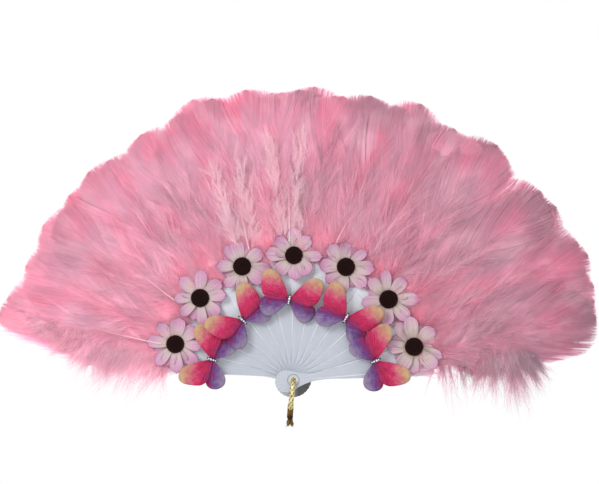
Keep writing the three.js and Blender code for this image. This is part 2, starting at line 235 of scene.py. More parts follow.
def dress(name, finish, edge):
    """Gives a CAD node its finish and softens its edges."""
    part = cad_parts[name]
    part.data.materials.clear()
    part.data.materials.append(finish)
    weld = part.modifiers.new("weld", "WELD")
    weld.merge_threshold = SAME_POINT
    bevel = part.modifiers.new("edge", "BEVEL")
    bevel.width = edge
    bevel.segments = 2
    bevel.limit_method = "ANGLE"
    bevel.angle_limit = SHARP_EDGE
    bevel.harden_normals = True


stick_names = ["front_guard"]
stick_names += sorted(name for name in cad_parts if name.startswith("stick_"))
stick_names += ["back_guard"]
edges = [left_edge(name) for name in stick_names[1:3]]
plastic = white_plastic(edges[0], edges[1] - edges[0])
for name in stick_names:
    dress(name, plastic, STICK_EDGE)


# Eyelet: a drawn metal tube with a flange in front and a washer at the back, on which all the sticks turn.
# It is lacquered white like the sticks, and the metal shows at the rim of the bore, where the cord rubs.
EYELET_EDGE = 0.00012
BORE_RIM = 0.0028
RUBBED = 0.0002  # how unevenly the lacquer is rubbed off


def white_lacquer():
    made, tree, shader = material("white_lacquer")
    _, _, radius = round_pivot(tree)
    scuffs = clouds(tree, 900.0)
    ragged = value_of(tree, "ADD", radius, span(tree, scuffs, 0.3, 0.7, -RUBBED, RUBBED))
    bare = span(tree, ragged, BORE_RIM, BORE_RIM * 0.9)
    lacquer, height = mottled(tree, shade(186, 191, 200), 500.0, 0.12)
    feed(tree, shader, {
        "Base Color": mix(tree, bare, lacquer, shade(205, 190, 150)),
        "Metallic": bare,
        "Roughness": span(tree, bare, 0.0, 1.0, 0.38, 0.25),
        "Normal": bumped(tree, height, 0.1, 0.0002),
    })
    return made


lacquer = white_lacquer()
for name in ("pivot_eyelet", "pivot_washer"):
    dress(name, lacquer, EYELET_EDGE)


# Feathers: each stick carries a bundle of dyed feathers, glued by the quills to the front of its blade.
# They are broad, blunt and smooth towards the tip, with loose down lower on the shaft, all barb by barb.
QUILL_START = 0.091
VANE_START = 0.119
DOWN_START = 0.106
VANE_HALF = 0.031
SHAFT_RADIUS = 0.0009
SHAFT_TIP_RADIUS = 0.0002
SHAFT_SIDES = 6
SHAFT_RINGS = 16
SHAFT_END = 0.88  # share of the vane's length
QUILL_DEPTH = 0.0009  # in front of the stick's middle: on the blade's face
QUILL_RISE = 0.01
BARB_POINTS = 6
DOWN_POINTS = 7
BARB_WIDTH = 0.00042
DOWN_WIDTH = 0.0002
LONGEST_BARB = 0.1
BARB_TRIES = 120
VANE_ANGLES = ([0, 0.12, 0.45, 0.8, 1], [58, 45, 32, 19, 4])  # degrees of the barbs by share of the length
VANE_WIDTHS = ([0, 0.6, 1], [0.9, 1.2, 0.36])  # by share of a barb
DOWN_WIDTHS = ([0, 0.4, 1], [0.9, 1, 0.3])
DOWN_WAVE = 0.0018
FEATHER_KEEP = 0.06  # marks the bundles as soft, so each gets a mesh of its own
DYE_DRAWN = 0.42
VALUES = ("strand", "along", "reach", "downy", "quill", "pale", "tint")


def vane_half(at, half):
    """Half the width of a feather at a share of its length: quickly wide, then blunt at the tip."""
    at = np.clip(at, 0, 1)
    return half * (0.35 + 0.65 * (1 - np.exp(-at / 0.12))) * (1 - 0.06 * at) * np.sqrt(1 - at ** 16)


def clumped(draw, count, least, most):
    """A clump's number for each of many barbs in a row."""
    sizes = draw.integers(least, most + 1, count)
    return np.repeat(np.arange(count), sizes)[:count]


def drift(draw, count, width):
    """A random value, about 1 in size, that changes slowly from barb to barb."""
    knots = draw.normal(0, 1, count // width + 3)
    return np.interp(np.arange(count) / width, np.arange(len(knots)), knots)


def swept(root, side, first_angle, last_angle, length, points):
    """Centre lines of barbs that leave the shaft at one angle and bend to another: along and across it."""
    middles = (np.arange(points - 1) + 0.5) / (points - 1)
    angle = first_angle[:, None] + (last_angle - first_angle)[:, None] * middles
    step = length[:, None] / (points - 1)
    start = np.zeros((len(root), 1))
    along = np.hstack([start, np.cumsum(np.cos(angle) * step, axis=1)])
    across = np.hstack([start, np.cumsum(np.sin(angle) * step, axis=1)])
    return root[:, None] + along, across * side[:, None]


def barb_reach(at, first, last, length, half):
    """How long each barb may be before it leaves the feather's outline."""
    middle = (first + last) / 2
    along_share = (np.cos(first) + np.cos(last) + 4 * np.cos(middle)) / 6
    across_share = (np.sin(first) + np.sin(last) + 4 * np.sin(middle)) / 6
    tries = np.linspace(0.001, LONGEST_BARB, BARB_TRIES)
    end = at[:, None] * length + along_share[:, None] * tries
    inside = (across_share[:, None] * tries <= vane_half(end / length, half)) & (end <= length)
    return tries[np.maximum(np.cumprod(inside, axis=1).sum(1) - 1, 0)]


def vane_barbs(draw, length, half, count):
    """The barbs of both vanes of a feather, smoothly combed and parted here and there."""
    lines = []
    share = np.linspace(0, 1, BARB_POINTS)
    for side in (-1.0, 1.0):
        at = (np.arange(count) + draw.random(count)) / count * 0.98
        clump = clumped(draw, count, 2, 9)
        lean = np.radians(0.7 * drift(draw, count, 18) + draw.normal(0, 0.9, count))
        for split in draw.uniform(0.1, 0.6, 2):
            apart = (at - split) / 0.04
            lean -= np.radians(draw.uniform(0.3, 1.8)) * np.sign(apart) * np.exp(-np.abs(apart))
        first = np.radians(np.interp(at, *VANE_ANGLES)) + lean
        last = first * 0.4 + lean * 0.3
        reach = barb_reach(at, first, last, length, half)
        short = 0.02 * np.abs(drift(draw, count, 7)) + draw.exponential(0.035, count)
        reach = reach * (1 - np.minimum(short, 0.3))
        along, across = swept(at * length, np.full(count, side), first, last, reach, BARB_POINTS)
        lift = 0.0003 * drift(draw, count, 12) + draw.normal(0, 0.00012, count)
        droop = -0.04 + 0.03 * drift(draw, count, 60)
        forward = lift[:, None] * share + droop[:, None] * np.abs(across)
        lines.append({
            "points": np.stack([along, across, forward], axis=-1),
            "widths": BARB_WIDTH * np.interp(share, *VANE_WIDTHS)[None] * np.ones((count, 1)),
            "twist": np.radians(5 + 5 * drift(draw, count, 7) + draw.normal(0, 3, count)) * side,
            "strand": 0.55 * draw.random(count)[clump] + 0.45 * draw.random(count),
            "downy": np.interp(at, [0, 0.3], [0.4, 0.0]),
        })
    return lines


def down_barbs(draw, length, half, count, angles, reaches, bending, sides, puff, gather=0.5):
    """Loose wavy down along a shaft, in tufts that gather towards a point."""
    share = np.linspace(0, 1, DOWN_POINTS)
    tuft = clumped(draw, count, 5, 14)
    middle = draw.random(count)[tuft]
    at = np.clip(middle + draw.normal(0, 0.025, count), 0, 1)
    side = draw.choice(sides, count)[tuft]
    loose = draw.normal(0, 7 * (1 - gather), count)
    first = np.radians(np.interp(at, [0, 1], angles) + draw.normal(0, 13, count)[tuft] + loose)
    last = first * draw.uniform(*bending, count)[tuft]
    half = np.interp(at, [0, 0.5, 1], np.broadcast_to(half, 3))
    reach = half * draw.uniform(*reaches, count)[tuft] * draw.uniform(0.7, 1.05, count)
    along, across = swept(at * length, side, first, last, reach, DOWN_POINTS)
    along = along - gather * ((at - middle) * length)[:, None] * share ** 1.5
    across = across + draw.normal(0, 0.0025, count)[tuft][:, None]
    waves = draw.uniform(4, 11, count)[:, None]
    wave = np.sin(share * waves + draw.uniform(0, 6.3, count)[:, None]) * share
    puffed = draw.uniform(-0.3, 1.0, count)[tuft] * puff + draw.normal(0, 0.15 * puff, count)
    return [{
        "points": np.stack([
            along + draw.normal(0, DOWN_WAVE, count)[:, None] * wave,
            across + draw.normal(0, DOWN_WAVE, count)[:, None] * wave,
            puffed[:, None] * np.sin(share * 2.2) + draw.normal(0, 0.0006, count)[:, None] * wave,
        ], axis=-1),
        "widths": DOWN_WIDTH * np.interp(share, *DOWN_WIDTHS)[None] * np.ones((count, 1)),
        "twist": draw.uniform(-0.5, 0.5, count),
        "strand": 0.5 * draw.random(count)[tuft] + 0.5 * draw.random(count),
        "downy": np.ones(count),
    }]


def ring_values(rings, sides, given):
    """Shader values for the corners of many rings, from one for each ring or for all, or else 0."""
    spread = {name: np.broadcast_to(given.get(name, 0.0), rings) for name in VALUES}
    return {name: np.repeat(value.reshape(-1), sides) for name, value in spread.items()}


def strip_mesh(line, length, tint):
    """Tapered flat strips along barbs: vertices, faces, shader values, and the places on each strip."""
    points = line["points"]
    count, steps, _ = points.shape
    heading = np.gradient(points, axis=1)
    heading /= np.linalg.norm(heading, axis=2, keepdims=True) + 1e-12
    flat = np.stack([-heading[..., 1], heading[..., 0], np.zeros((count, steps))], axis=-1)
    flat /= np.linalg.norm(flat, axis=2, keepdims=True) + 1e-12
    raised = np.cross(heading, flat)
    twist = line["twist"][:, None, None]
    half = 0.5 * line["widths"][..., None] * (flat * np.cos(twist) + raised * np.sin(twist))
    vertices = np.stack([points - half, points + half], axis=2)
    first = (np.arange(count)[:, None] * steps + np.arange(steps - 1)) * 2
    faces = np.stack([first, first + 1, first + 3, first + 2], axis=-1)
    share = np.broadcast_to(np.linspace(0, 1, steps)[None], (count, steps))
    values = ring_values((count, steps), 2, {
        "strand": line["strand"][:, None],
        "along": share,
        "reach": points[..., 0] / length,
        "downy": line["downy"][:, None] * (0.4 + 0.6 * share),
        "pale": line.get("pale", 0.0),
        "tint": tint,
    })
    cell = np.repeat(np.arange(count), steps * 2)
    place = np.stack([np.tile([0.0, 1.0], count * steps), np.repeat(share.reshape(-1), 2)], axis=-1)
    return vertices.reshape(-1, 3), faces.reshape(-1, 4), values, cell, place


def circle(sides):
    """The directions of the corners of a ring."""
    return np.arange(sides) / sides * 2 * math.pi


def ring_walls(count, sides):
    """The faces between rings of points, each with so many sides."""
    ring = np.arange(count - 1)[:, None] * sides
    corner = np.arange(sides)
    after = (corner + 1) % sides
    walls = [ring + corner, ring + after, ring + sides + after, ring + sides + corner]
    return np.stack(walls, axis=-1).reshape(-1, 4)


def shaft_mesh(length, first, tint, thick, lift):
    """The tapered shaft of a feather, from its quill, lifted onto the blade's face, to near the tip."""
    share = np.linspace(0, 1, SHAFT_RINGS)
    along = first + share * (SHAFT_END * length - first)
    radius = np.interp(share, [0, 0.25, 1], [thick, thick, SHAFT_TIP_RADIUS])
    turn = circle(SHAFT_SIDES)
    across = radius[:, None] * np.cos(turn)
    raised = lift * np.clip(0.5 - along / QUILL_RISE, 0, 1)
    forward = raised[:, None] + radius[:, None] * np.sin(turn) * 0.6
    vertices = np.stack([np.broadcast_to(along[:, None], across.shape), across, forward], axis=-1)
    faces = ring_walls(SHAFT_RINGS, SHAFT_SIDES)
    values = ring_values(SHAFT_RINGS, SHAFT_SIDES, {
        "strand": 0.5,
        "along": share,
        "reach": np.clip(along / length, 0, 1),
        "quill": 1.0,
        "tint": tint,
    })
    around = np.tile(np.arange(SHAFT_SIDES) / SHAFT_SIDES, SHAFT_RINGS)
    place = np.stack([around, np.repeat(share, SHAFT_SIDES)], axis=-1)
    return vertices.reshape(-1, 3), faces, values, np.zeros(len(place), int), place


def set_on_stick(vertices, length, start, splay, aside, depth, bend, bow, curl):
    """A straight feather bent sideways, bowed, curled at the tip and turned by its splay, on a stick."""
    at = np.clip(vertices[:, 0] / length, 0, 1.2)
    across = vertices[:, 1] + bend * at ** 2
    forward = vertices[:, 2] + bow * np.sin(np.minimum(at, 1) * math.pi) + curl * at ** 3
    return np.stack([
        start + vertices[:, 0] * math.cos(splay) - across * math.sin(splay),
        aside + vertices[:, 0] * math.sin(splay) + across * math.cos(splay),
        depth + forward,
    ], axis=-1)


def plume(
    draw, splay, reach, depth, tint, lines, start=VANE_START, quill=QUILL_START,
    thick=SHAFT_RADIUS, rise=0.0, sway=0.006, aside=None,
):
    """One feather of a bundle, from its lines of barbs: meshes along, across and forward on the stick."""
    length = reach - start
    form = (draw.normal(0, sway), draw.uniform(-0.001, 0.003) + rise, draw.normal(-0.001, 0.002))
    meshes = [strip_mesh(line, length, tint) for line in lines]
    if quill:
        meshes.append(shaft_mesh(length, quill - start, tint, thick, max(QUILL_DEPTH - depth, 0.0)))
    turn = math.radians(splay)
    aside = 0.002 * np.sign(splay) if aside is None else aside
    pose = (length, start, turn, aside, depth, *form)
    return [(set_on_stick(vertices, *pose), *rest) for vertices, *rest in meshes]


def narrowed(vane, length, share):
    """Make one vane of a feather narrower towards the tip, unevenly, to about a share of its width."""
    lost = np.interp(vane["points"][..., 0] / length, [NARROW_FROM, 1.0], [0.0, 1.0])
    kept = share * (4 * vane["strand"][:, None] - 1)
    vane["points"][..., 1] *= 1 - lost * (1 - kept)


def joined(pieces):
    """Many meshes as one: vertices, faces, shader values, and each vertex's place on the colour map."""
    shift = np.cumsum([0] + [len(piece[0]) for piece in pieces])
    cells = np.cumsum([0] + [piece[3].max() + 1 for piece in pieces])
    vertices = np.vstack([piece[0] for piece in pieces])
    faces = np.vstack([piece[1] + first for piece, first in zip(pieces, shift)])
    values = {name: np.concatenate([piece[2][name] for piece in pieces]) for name in VALUES}
    cell = np.concatenate([piece[3] + first for piece, first in zip(pieces, cells)])
    place = np.vstack([piece[4] for piece in pieces])
    wide = math.ceil(math.sqrt(cells[-1]))
    corner = np.stack([cell % wide, cell // wide], axis=-1)
    return vertices, faces, values, (corner + 0.12 + 0.76 * place) / wide


def new_piece(name, vertices, faces, finish, values=None, map_places=None, smooth=True):
    """A mesh object with its finish, its shader values and, if given, its colour map."""
    mesh = bpy.data.meshes.new(name)
    mesh.from_pydata(vertices.tolist(), [], faces.tolist() if isinstance(faces, np.ndarray) else faces)
    mesh.polygons.foreach_set("use_smooth", np.full(len(mesh.polygons), smooth))
    for label, value in (values or {}).items():
        mesh.attributes.new(label, "FLOAT", "POINT").data.foreach_set("value", value.astype(np.float32))
    if map_places is not None:
        corner = np.empty(len(mesh.loops), np.int32)
        mesh.loops.foreach_get("vertex_index", corner)
        layer = mesh.uv_layers.new(name="OFBake")
        layer.data.foreach_set("uv", map_places[corner].astype(np.float32).ravel())
    mesh.materials.append(finish)
    made = bpy.data.objects.new(name, mesh)
    bpy.context.scene.collection.objects.link(made)
    return made


def combed_normal(tree):
    """A barb's normal, turned most of the way to the fan's face, because the barbs hook into one sheet."""
    own = node(tree, "NewGeometry").outputs["Normal"]
    side = value_of(tree, "SIGN", node(tree, "SeparateXYZ", {0: own}).outputs["Y"])
    face = node(tree, "CombineXYZ", {"Y": side}).outputs[0]
    turned = node(tree, "Mix", {0: 0.6, 4: own, 5: face}, data_type="VECTOR").outputs[1]
    return node(tree, "VectorMath", {0: turned}, operation="NORMALIZE").outputs[0]


def along_feathers(tree):
    """A place by turn round the pivot and distance from it, drawn out along the feathers."""
    place, turn, radius = round_pivot(tree)
    across = value_of(tree, "MULTIPLY", turn, DYE_DRAWN)
    return node(tree, "CombineXYZ", {"X": across, "Y": radius, "Z": place["Y"]}).outputs[0]


def attribute(tree, name):
    return node(tree, "Attribute", attribute_name=name).outputs["Fac"]


def ramp(tree, factor, *stops):
    """Colours by place: each stop is a place from 0 to 1 and its colour."""
    made = node(tree, "ValToRGB", {"Fac": factor})
    elements = made.color_ramp.elements
    while len(elements) < len(stops):
        elements.new(1.0)
    for element, (place, colour) in zip(elements, stops):
        element.position = place
        element.color = colour
    return made.outputs["Color"]


def dyed_feather():
    made, tree, shader = material("dyed_feather")
    grown = along_feathers(tree)
    given = {name: attribute(tree, name) for name in VALUES}
    pink = ramp(
        tree, given["reach"],
        (0.0, shade(255, 192, 210)),
        (0.22, shade(255, 202, 222)),
        (0.6, shade(255, 213, 232)),
        (0.86, shade(255, 196, 219)),
        (1.0, shade(252, 192, 212)),
    )
    mauve = ramp(
        tree, given["reach"],
        (0.0, shade(246, 162, 188)),
        (0.3, shade(236, 178, 200)),
        (0.75, shade(210, 148, 171)),
        (1.0, shade(184, 138, 156)),
    )
    # The tint turns feathers and down mauve and darker towards the fan's right end: partly dye, partly
    # painted shade.
    dyed = mix(tree, given["tint"], pink, mauve)
    rosy = mix(tree, given["strand"], shade(246, 188, 210), shade(255, 234, 240))
    dusky = mix(tree, given["strand"], shade(180, 156, 168), shade(230, 213, 221))
    fluffy = mix(tree, given["tint"], rosy, dusky)
    bright = span(tree, clouds(tree, 19.0, place=grown), 0.46, 0.68, 0.0, 0.48)
    dyed = mix(tree, bright, dyed, shade(255, 152, 188))
    faded = span(tree, clouds(tree, 31.0, place=grown), 0.48, 0.68, 0.0, 0.42)
    dyed = mix(tree, faded, dyed, shade(255, 226, 236))
    dusty = span(tree, clouds(tree, 26.0, 2.0, place=grown), 0.52, 0.7, 0.0, 0.26)
    dyed = mix(tree, dusty, dyed, shade(214, 172, 192))
    dyed = mix(tree, value_of(tree, "MULTIPLY", given["downy"], 0.6), dyed, fluffy)
    swing = value_of(tree, "MULTIPLY_ADD", given["downy"], 0.3, 0.24)
    level = value_of(tree, "MULTIPLY_ADD", value_of(tree, "SUBTRACT", given["strand"], 0.48), swing, 1.0)
    dyed = node(tree, "VectorMath", {0: dyed, "Scale": level}, operation="SCALE").outputs[0]
    ends = span(tree, given["along"], 0.75, 1.0, 0.0, 0.3)
    dyed = mix(tree, ends, dyed, mix(tree, given["tint"], shade(246, 200, 216), shade(206, 186, 196)))
    washed = mix(tree, given["strand"], shade(252, 212, 224), shade(255, 246, 248))
    dyed = mix(tree, given["pale"], dyed, washed)
    shaft = ramp(
        tree, given["reach"],
        (0.0, shade(255, 234, 238)),
        (0.35, shade(254, 212, 224)),
        (1.0, shade(240, 184, 204)),
    )
    colour, _ = mottled(tree, mix(tree, given["quill"], dyed, shaft), 45.0, 0.22)
    normal = combed_normal(tree)
    feed(tree, shader, {
        "Base Color": colour,
        "Normal": normal,
        "Roughness": span(tree, given["quill"], 0.0, 1.0, 0.8, 0.4),
        "Specular IOR Level": 0.25,
        "Sheen Weight": 0.25,
        "Sheen Roughness": 0.5,
        "Sheen Tint": shade(255, 225, 235),
    })
    through = node(tree, "BsdfTranslucent", {"Color": colour, "Normal": normal}).outputs[0]
    both = node(tree, "MixShader", {0: 0.5, 1: shader.outputs[0], 2: through}).outputs[0]
    tree.links.new(both, tree.nodes["Material Output"].inputs["Surface"])
    return made


def stick_angle(name):
    """The direction of a stick from the pivot, from the mean of its far corners."""
    far = far_corners(name).mean(0)
    return math.atan2(far[2], far[0])


def on_stick(points, angle, middle):
    """Points along, across and forward on a stick, in the fan's frame."""
    along, across, forward = points.T
    return np.stack([
        along * math.cos(angle) - across * math.sin(angle),
        middle - forward,
        along * math.sin(angle) + across * math.cos(angle),
    ], axis=-1)


def glue(piece, stick, node_name, keep):
    """Fixes a piece to its stick in place of a CAD node, and gives a soft one a mesh of its own."""
    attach(piece, f"blade_{stick + 1:02d}")
    if keep:
        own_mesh(piece)
    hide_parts(node_name)


MAIN_FEATHERS = [
    (6.4, 0.0025, -0.0009), (4.2, 0.0, -0.0004), (-4.2, 0.003, 0.0003), (0.2, 0.005, 0.0007),
]  # splay, shorter, depth
PAST_SOLID = 0.003  # how far the longest barbs may go past the solid feathers
VANE_BARBS = 720
LOW_BARBS = 300
LOW_SHARE = 0.5  # of the vane's length, over which loose down grows
RIGHT_DYE_AND_SHADE = 0.66  # how mauve and dark the right end is, partly dye and partly painted shade; the left end is pink
FILLERS = (-6, -2, 2, 6)  # splay
FILLER_BARBS = 480
FILLER_HALF = 0.026
FILLER_REACHES = (0.158, 0.198)
FILLER_SHARE = 0.85
PAST_END = -20  # splay by lean, below which a filler would stand out past an end
FOOT_START = 0.094
FOOT_REACH = 0.4  # of the curve that the foot's down follows
FOOT_LENGTH = 0.03
FOOT_HALF = 0.0135
FOOT_BARBS = 620
LEANS = {0: 6.5, 13: -8.0}  # degrees that the bundles at both ends lean inwards
LEFT_END = 13
NARROW_FROM = 0.2  # share of the length
LEFT_END_SHARE = 0.2  # width kept at the tip by the outer vanes of the left end's feathers
BOTH_SIDES = (-1.0, 1.0)
RIGHT = (-1.0,)
LEFT = (1.0,)
FRINGES = {
    0: [
        (-9.5, 0.119, 0.145, (0.039, 0.042, 0.028), (84, 66), RIGHT, 240, 1.0),
        (-9.5, 0.156, 0.2, (0.042, 0.051, 0.025), (106, 58), RIGHT, 1500, 0.9),
    ],
    13: [
        (-1.0, 0.104, 0.212, (0.047, 0.045, 0.008), (76, 62), LEFT, 3000, 0.12),
        (-13.0, 0.182, 0.24, (0.024, 0.02, 0.016), (60, 38), LEFT, 800, 0.0),
    ],
}  # by stick: splay, first and last root, lengths, angles, side, count and tint of the hanging barbs
FRINGE_LAYERS = [
    ((0.5, 1.05), (0.85, 1.15), 0.8), ((0.15, 0.6), (0.7, 1.2), 0.5),
]  # shares of the length, bending, gathering
FRINGE_DOWNY = 1.5
PALE_TUFTS = {
    6: [(0.0118, 7.0, 0.204)],
    7: [(-0.0035, 0.5, 0.2)],
    8: [(0.0097, 0.0, 0.184), (-0.0046, -4.0, 0.182)],
}  # by stick: place beside its middle, splay, reach
PALE = 0.8  # how far these tufts have lost the dye
TUFT_BARBS = 900
TUFT_HALF = 0.013
SMALL_SWAY = 0.003
BARE_RADIUS = 0.00058
BARE_START = 0.114
BARE_QUILLS = {
    5: (0.0034, -5.0, 0.152),
    7: (-0.0085, -5.0, 0.19),
    8: (0.0012, -4.7, 0.172),
    11: (0.003, -1.0, 0.18),
    13: (-0.0098, -2.2, 0.2),
}  # by stick: place beside its middle, splay, reach
feather_finish = dyed_feather()
draw = np.random.default_rng(11)
for stick, stick_name in enumerate(stick_names):
    node_name = f"feathers_{stick + 1:02d}"
    low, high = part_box(node_name)
    middle = (low.y + high.y) / 2
    full_reach = float(corners_of(node_name)[1].max())
    side_dye_and_shade = RIGHT_DYE_AND_SHADE - RIGHT_DYE_AND_SHADE * stick / (len(stick_names) - 1)
    inwards = LEANS.get(stick, 0.0)
    bundle = []
    for splay, shorter, depth in MAIN_FEATHERS:
        reach = full_reach + PAST_SOLID - shorter - abs(draw.normal(0, 0.0014))
        length = reach - VANE_START
        half = VANE_HALF * draw.uniform(0.92, 1.06)
        lines = vane_barbs(draw, length, half, VANE_BARBS)
        if stick == LEFT_END:
            narrowed(lines[1], length, LEFT_END_SHARE)
        lines += down_barbs(
            draw, LOW_SHARE * length, half, LOW_BARBS,
            angles=(32, 10), reaches=(0.8, 1.7), bending=(0.2, 0.9), sides=BOTH_SIDES, puff=0.002,
        )
        tint = float(np.clip(side_dye_and_shade + draw.normal(0, 0.14), 0, 1))
        aside = splay * (0.5 if splay * inwards < 0 else 1.0)
        bundle += plume(draw, inwards + aside + draw.normal(0, 0.8), reach, depth, tint, lines)
    for splay in FILLERS:
        if splay * inwards < PAST_END:
            continue
        reach = draw.uniform(*FILLER_REACHES)
        lines = down_barbs(
            draw, FILLER_SHARE * (reach - DOWN_START), FILLER_HALF, FILLER_BARBS,
            angles=(34 + 12 * side_dye_and_shade, 12 + 14 * side_dye_and_shade), reaches=(0.6, 1.7), bending=(0.1, 1.1),
            sides=BOTH_SIDES, puff=0.004,
        )
        tint = float(np.clip(0.72 * side_dye_and_shade + draw.normal(0, 0.18), 0, 1))
        turned = inwards + splay + draw.normal(0, 1.2)
        bundle += plume(draw, turned, reach, depth=0.0008, tint=tint, lines=lines, start=DOWN_START)
    foot = down_barbs(
        draw, FOOT_LENGTH, FILLER_HALF, FOOT_BARBS,
        angles=(26, 12), reaches=(0.6, 1.6), bending=(0.3, 1.0), sides=BOTH_SIDES, puff=0.003,
    )
    foot[0]["points"][..., 1] += draw.uniform(-FOOT_HALF, FOOT_HALF, FOOT_BARBS)[:, None]
    foot[0]["downy"] = foot[0]["downy"] * 0.3
    bundle += plume(
        draw, inwards, FOOT_REACH, depth=0.0022, tint=side_dye_and_shade, lines=foot, start=FOOT_START, quill=None,
    )
    if stick in BARE_QUILLS:
        aside, splay, reach = BARE_QUILLS[stick]
        bundle += plume(
            draw, splay, reach, depth=0.0078, tint=0.0, lines=[], quill=BARE_START,
            thick=BARE_RADIUS, rise=0.0026, sway=SMALL_SWAY, aside=aside,
        )
    for aside, splay, reach in PALE_TUFTS.get(stick, []):
        lines = down_barbs(
            draw, reach - VANE_START, TUFT_HALF, TUFT_BARBS, angles=(34, 24),
            reaches=(0.5, 1.4), bending=(-0.2, 1.1), sides=BOTH_SIDES, puff=0.0035, gather=0.2,
        )
        lines[0]["pale"] = PALE
        bundle += plume(
            draw, splay, reach, depth=0.0062, tint=0.0, lines=lines, quill=None,
            sway=SMALL_SWAY, aside=aside,
        )
    for splay, root, reach, hanging, angles, lower, count, tint in FRINGES.get(stick, []):
        lines = []
        for reaches, bending, gather in FRINGE_LAYERS:
            lines += down_barbs(
                draw, reach - root, hanging, count, angles, reaches, bending, lower,
                puff=0.003, gather=gather,
            )
        for line in lines:
            line["downy"] = line["downy"] * FRINGE_DOWNY
        bundle += plume(draw, splay, reach, depth=0.0016, tint=tint, lines=lines, start=root, quill=None)

    vertices, faces, values, places = joined(bundle)
    vertices = on_stick(vertices, stick_angle(stick_name), middle)
    piece = new_piece(f"feather_bundle_{stick + 1:02d}", vertices, faces, feather_finish, values, places)
    glue(piece, stick, node_name, FEATHER_KEEP)


# Daisies: a flower head of fabric petals in two layers on a short stem, glued to every second stick.
# The petals are pressed with lengthwise veins and sprayed from cream at the root to lilac at the tip.
PETALS = 8
PETAL_HALF = 0.0054
PETAL_ROOT = 0.003
PETAL_THICKNESS = 0.0003
PETAL_ROWS = 14
PETAL_COLUMNS = 13
PETAL_DISH = 0.0028
PETAL_SEAT = 0.0008  # the petals' root behind the front of the solid flower's dish
PETAL_CURL = 0.0024
PETAL_WAVE = 0.00012
PETAL_LAYERS = [(0.0001, 0.5, 0.76, 0.6), (0.0014, 0.0, 1.0, 1.0)]  # lift, turn in petals, length, dish
PETAL_LILAC = (0.35, 0.7, 0.9, 1.0, 0.9, 1.0, 1.0)  # how far the spray covers each flower, from the right
DAISY_KEEP = 0.026  # marks the daisies as soft, so each gets a mesh of its own
STEM_RADIUS = 0.0022
STEM_SIDES = 10
STEM_WIDTHS = (1.0, 0.7, 0.9, 2.2)  # from its foot to the petals, in radii
STEM_TOP = 0.0009


def thick_sheet(points, thickness):
    """A closed thin sheet over rows and columns of points: vertices, the front ones first, and faces."""
    over = np.gradient(points, axis=1)
    ahead = np.gradient(points, axis=0)
    normal = np.cross(over, ahead)
    normal /= np.linalg.norm(normal, axis=2, keepdims=True) + 1e-12
    rows, columns = points.shape[:2]
    index = np.arange(rows * columns).reshape(rows, columns)
    cells = [index[:-1, :-1], index[:-1, 1:], index[1:, 1:], index[1:, :-1]]
    front = np.stack(cells, axis=-1).reshape(-1, 4)
    back = front[:, ::-1] + rows * columns
    rim = np.concatenate([index[0, :-1], index[:-1, -1], index[-1, :0:-1], index[:0:-1, 0]])
    after = np.roll(rim, -1)
    walls = np.stack([rim, rim + rows * columns, after + rows * columns, after], axis=-1)
    sides = [points + normal * thickness / 2, points - normal * thickness / 2]
    return np.vstack([side.reshape(-1, 3) for side in sides]), np.vstack([front, back, walls])


def facing(points, middle):
    """Points to the right, up and forward of a middle, in the fan's frame."""
    return np.array(middle) + points[..., [0, 2, 1]] * np.array([1, -1, 1])


def closed_rings(count, sides):
    """The faces of a solid made of rings: the walls between them and a lid at each end."""
    corner = np.arange(sides)
    faces = [list(face) for face in ring_walls(count, sides)]
    return faces + [list(corner[::-1]), list((count - 1) * sides + corner)]


def tube(line, radius, sides, first_out):
    """A tube along a line with a radius for each ring and side, and closed ends: vertices and faces."""
    heading = np.gradient(line, axis=0)
    heading /= np.linalg.norm(heading, axis=1, keepdims=True)
    turn = circle(sides)[:, None]
    out = np.array(first_out, float)
    rings = []
    for place, ahead, wide in zip(line, heading, radius):
        out = out - ahead * (out @ ahead)
        out /= np.linalg.norm(out)
        other = np.cross(ahead, out)
        rings.append(place + wide[:, None] * (np.cos(turn) * out + np.sin(turn) * other))
    return np.vstack(rings), closed_rings(len(line), sides)


def petal(draw, reach, turn, lift, dish, lilac, front):
    """One petal's grid of points, right, up and forward of the flower's middle, and its shader values."""
    along = np.linspace(0, 1, PETAL_ROWS)[:, None]
    across = np.linspace(1, -1, PETAL_COLUMNS)[None]
    wide = 0.4 + 0.6 * np.sin(np.minimum(along / 0.75, 1) * math.pi / 2)
    blunt = np.sqrt(1 - np.clip((along - 0.6) / 0.402, 0, 1) ** 2.6)
    sideways = across * wide * blunt * PETAL_HALF * draw.uniform(0.8, 1.2)
    outward = PETAL_ROOT + along * (reach - PETAL_ROOT) * (1 - 0.05 * (across * along) ** 2)
    forward = lift + dish * along ** 1.7
    forward = forward + draw.uniform(-0.15, 0.5) * sideways ** 2 / PETAL_HALF
    forward = forward + draw.uniform(0.06, 0.16) * sideways + draw.normal(0, 0.2) * sideways * along ** 2
    forward = forward + PETAL_WAVE * along * np.cos(9 * across + draw.uniform(0, 6))
    curl = draw.normal(0.1, 0.8) * PETAL_CURL
    forward = forward + (curl if front else -abs(curl)) * np.clip((along - 0.6) / 0.4, 0, 1) ** 2
    grid = np.stack([
        outward * math.cos(turn) - sideways * math.sin(turn),
        outward * math.sin(turn) + sideways * math.cos(turn),
        np.broadcast_to(forward, sideways.shape),
    ], axis=-1)
    flat = np.ones(sideways.shape)
    tone = lilac * draw.uniform(0.4, 1.0)
    return grid, {"along": flat * along, "across": flat * across, "tone": flat * tone}


def merged(parts):
    """Several meshes as one: vertices and faces."""
    shift = np.cumsum([0] + [len(vertices) for vertices, _ in parts])
    faces = []
    for (_, part_faces), first in zip(parts, shift):
        faces += [[int(corner) + int(first) for corner in face] for face in part_faces]
    return np.vstack([vertices for vertices, _ in parts]), faces


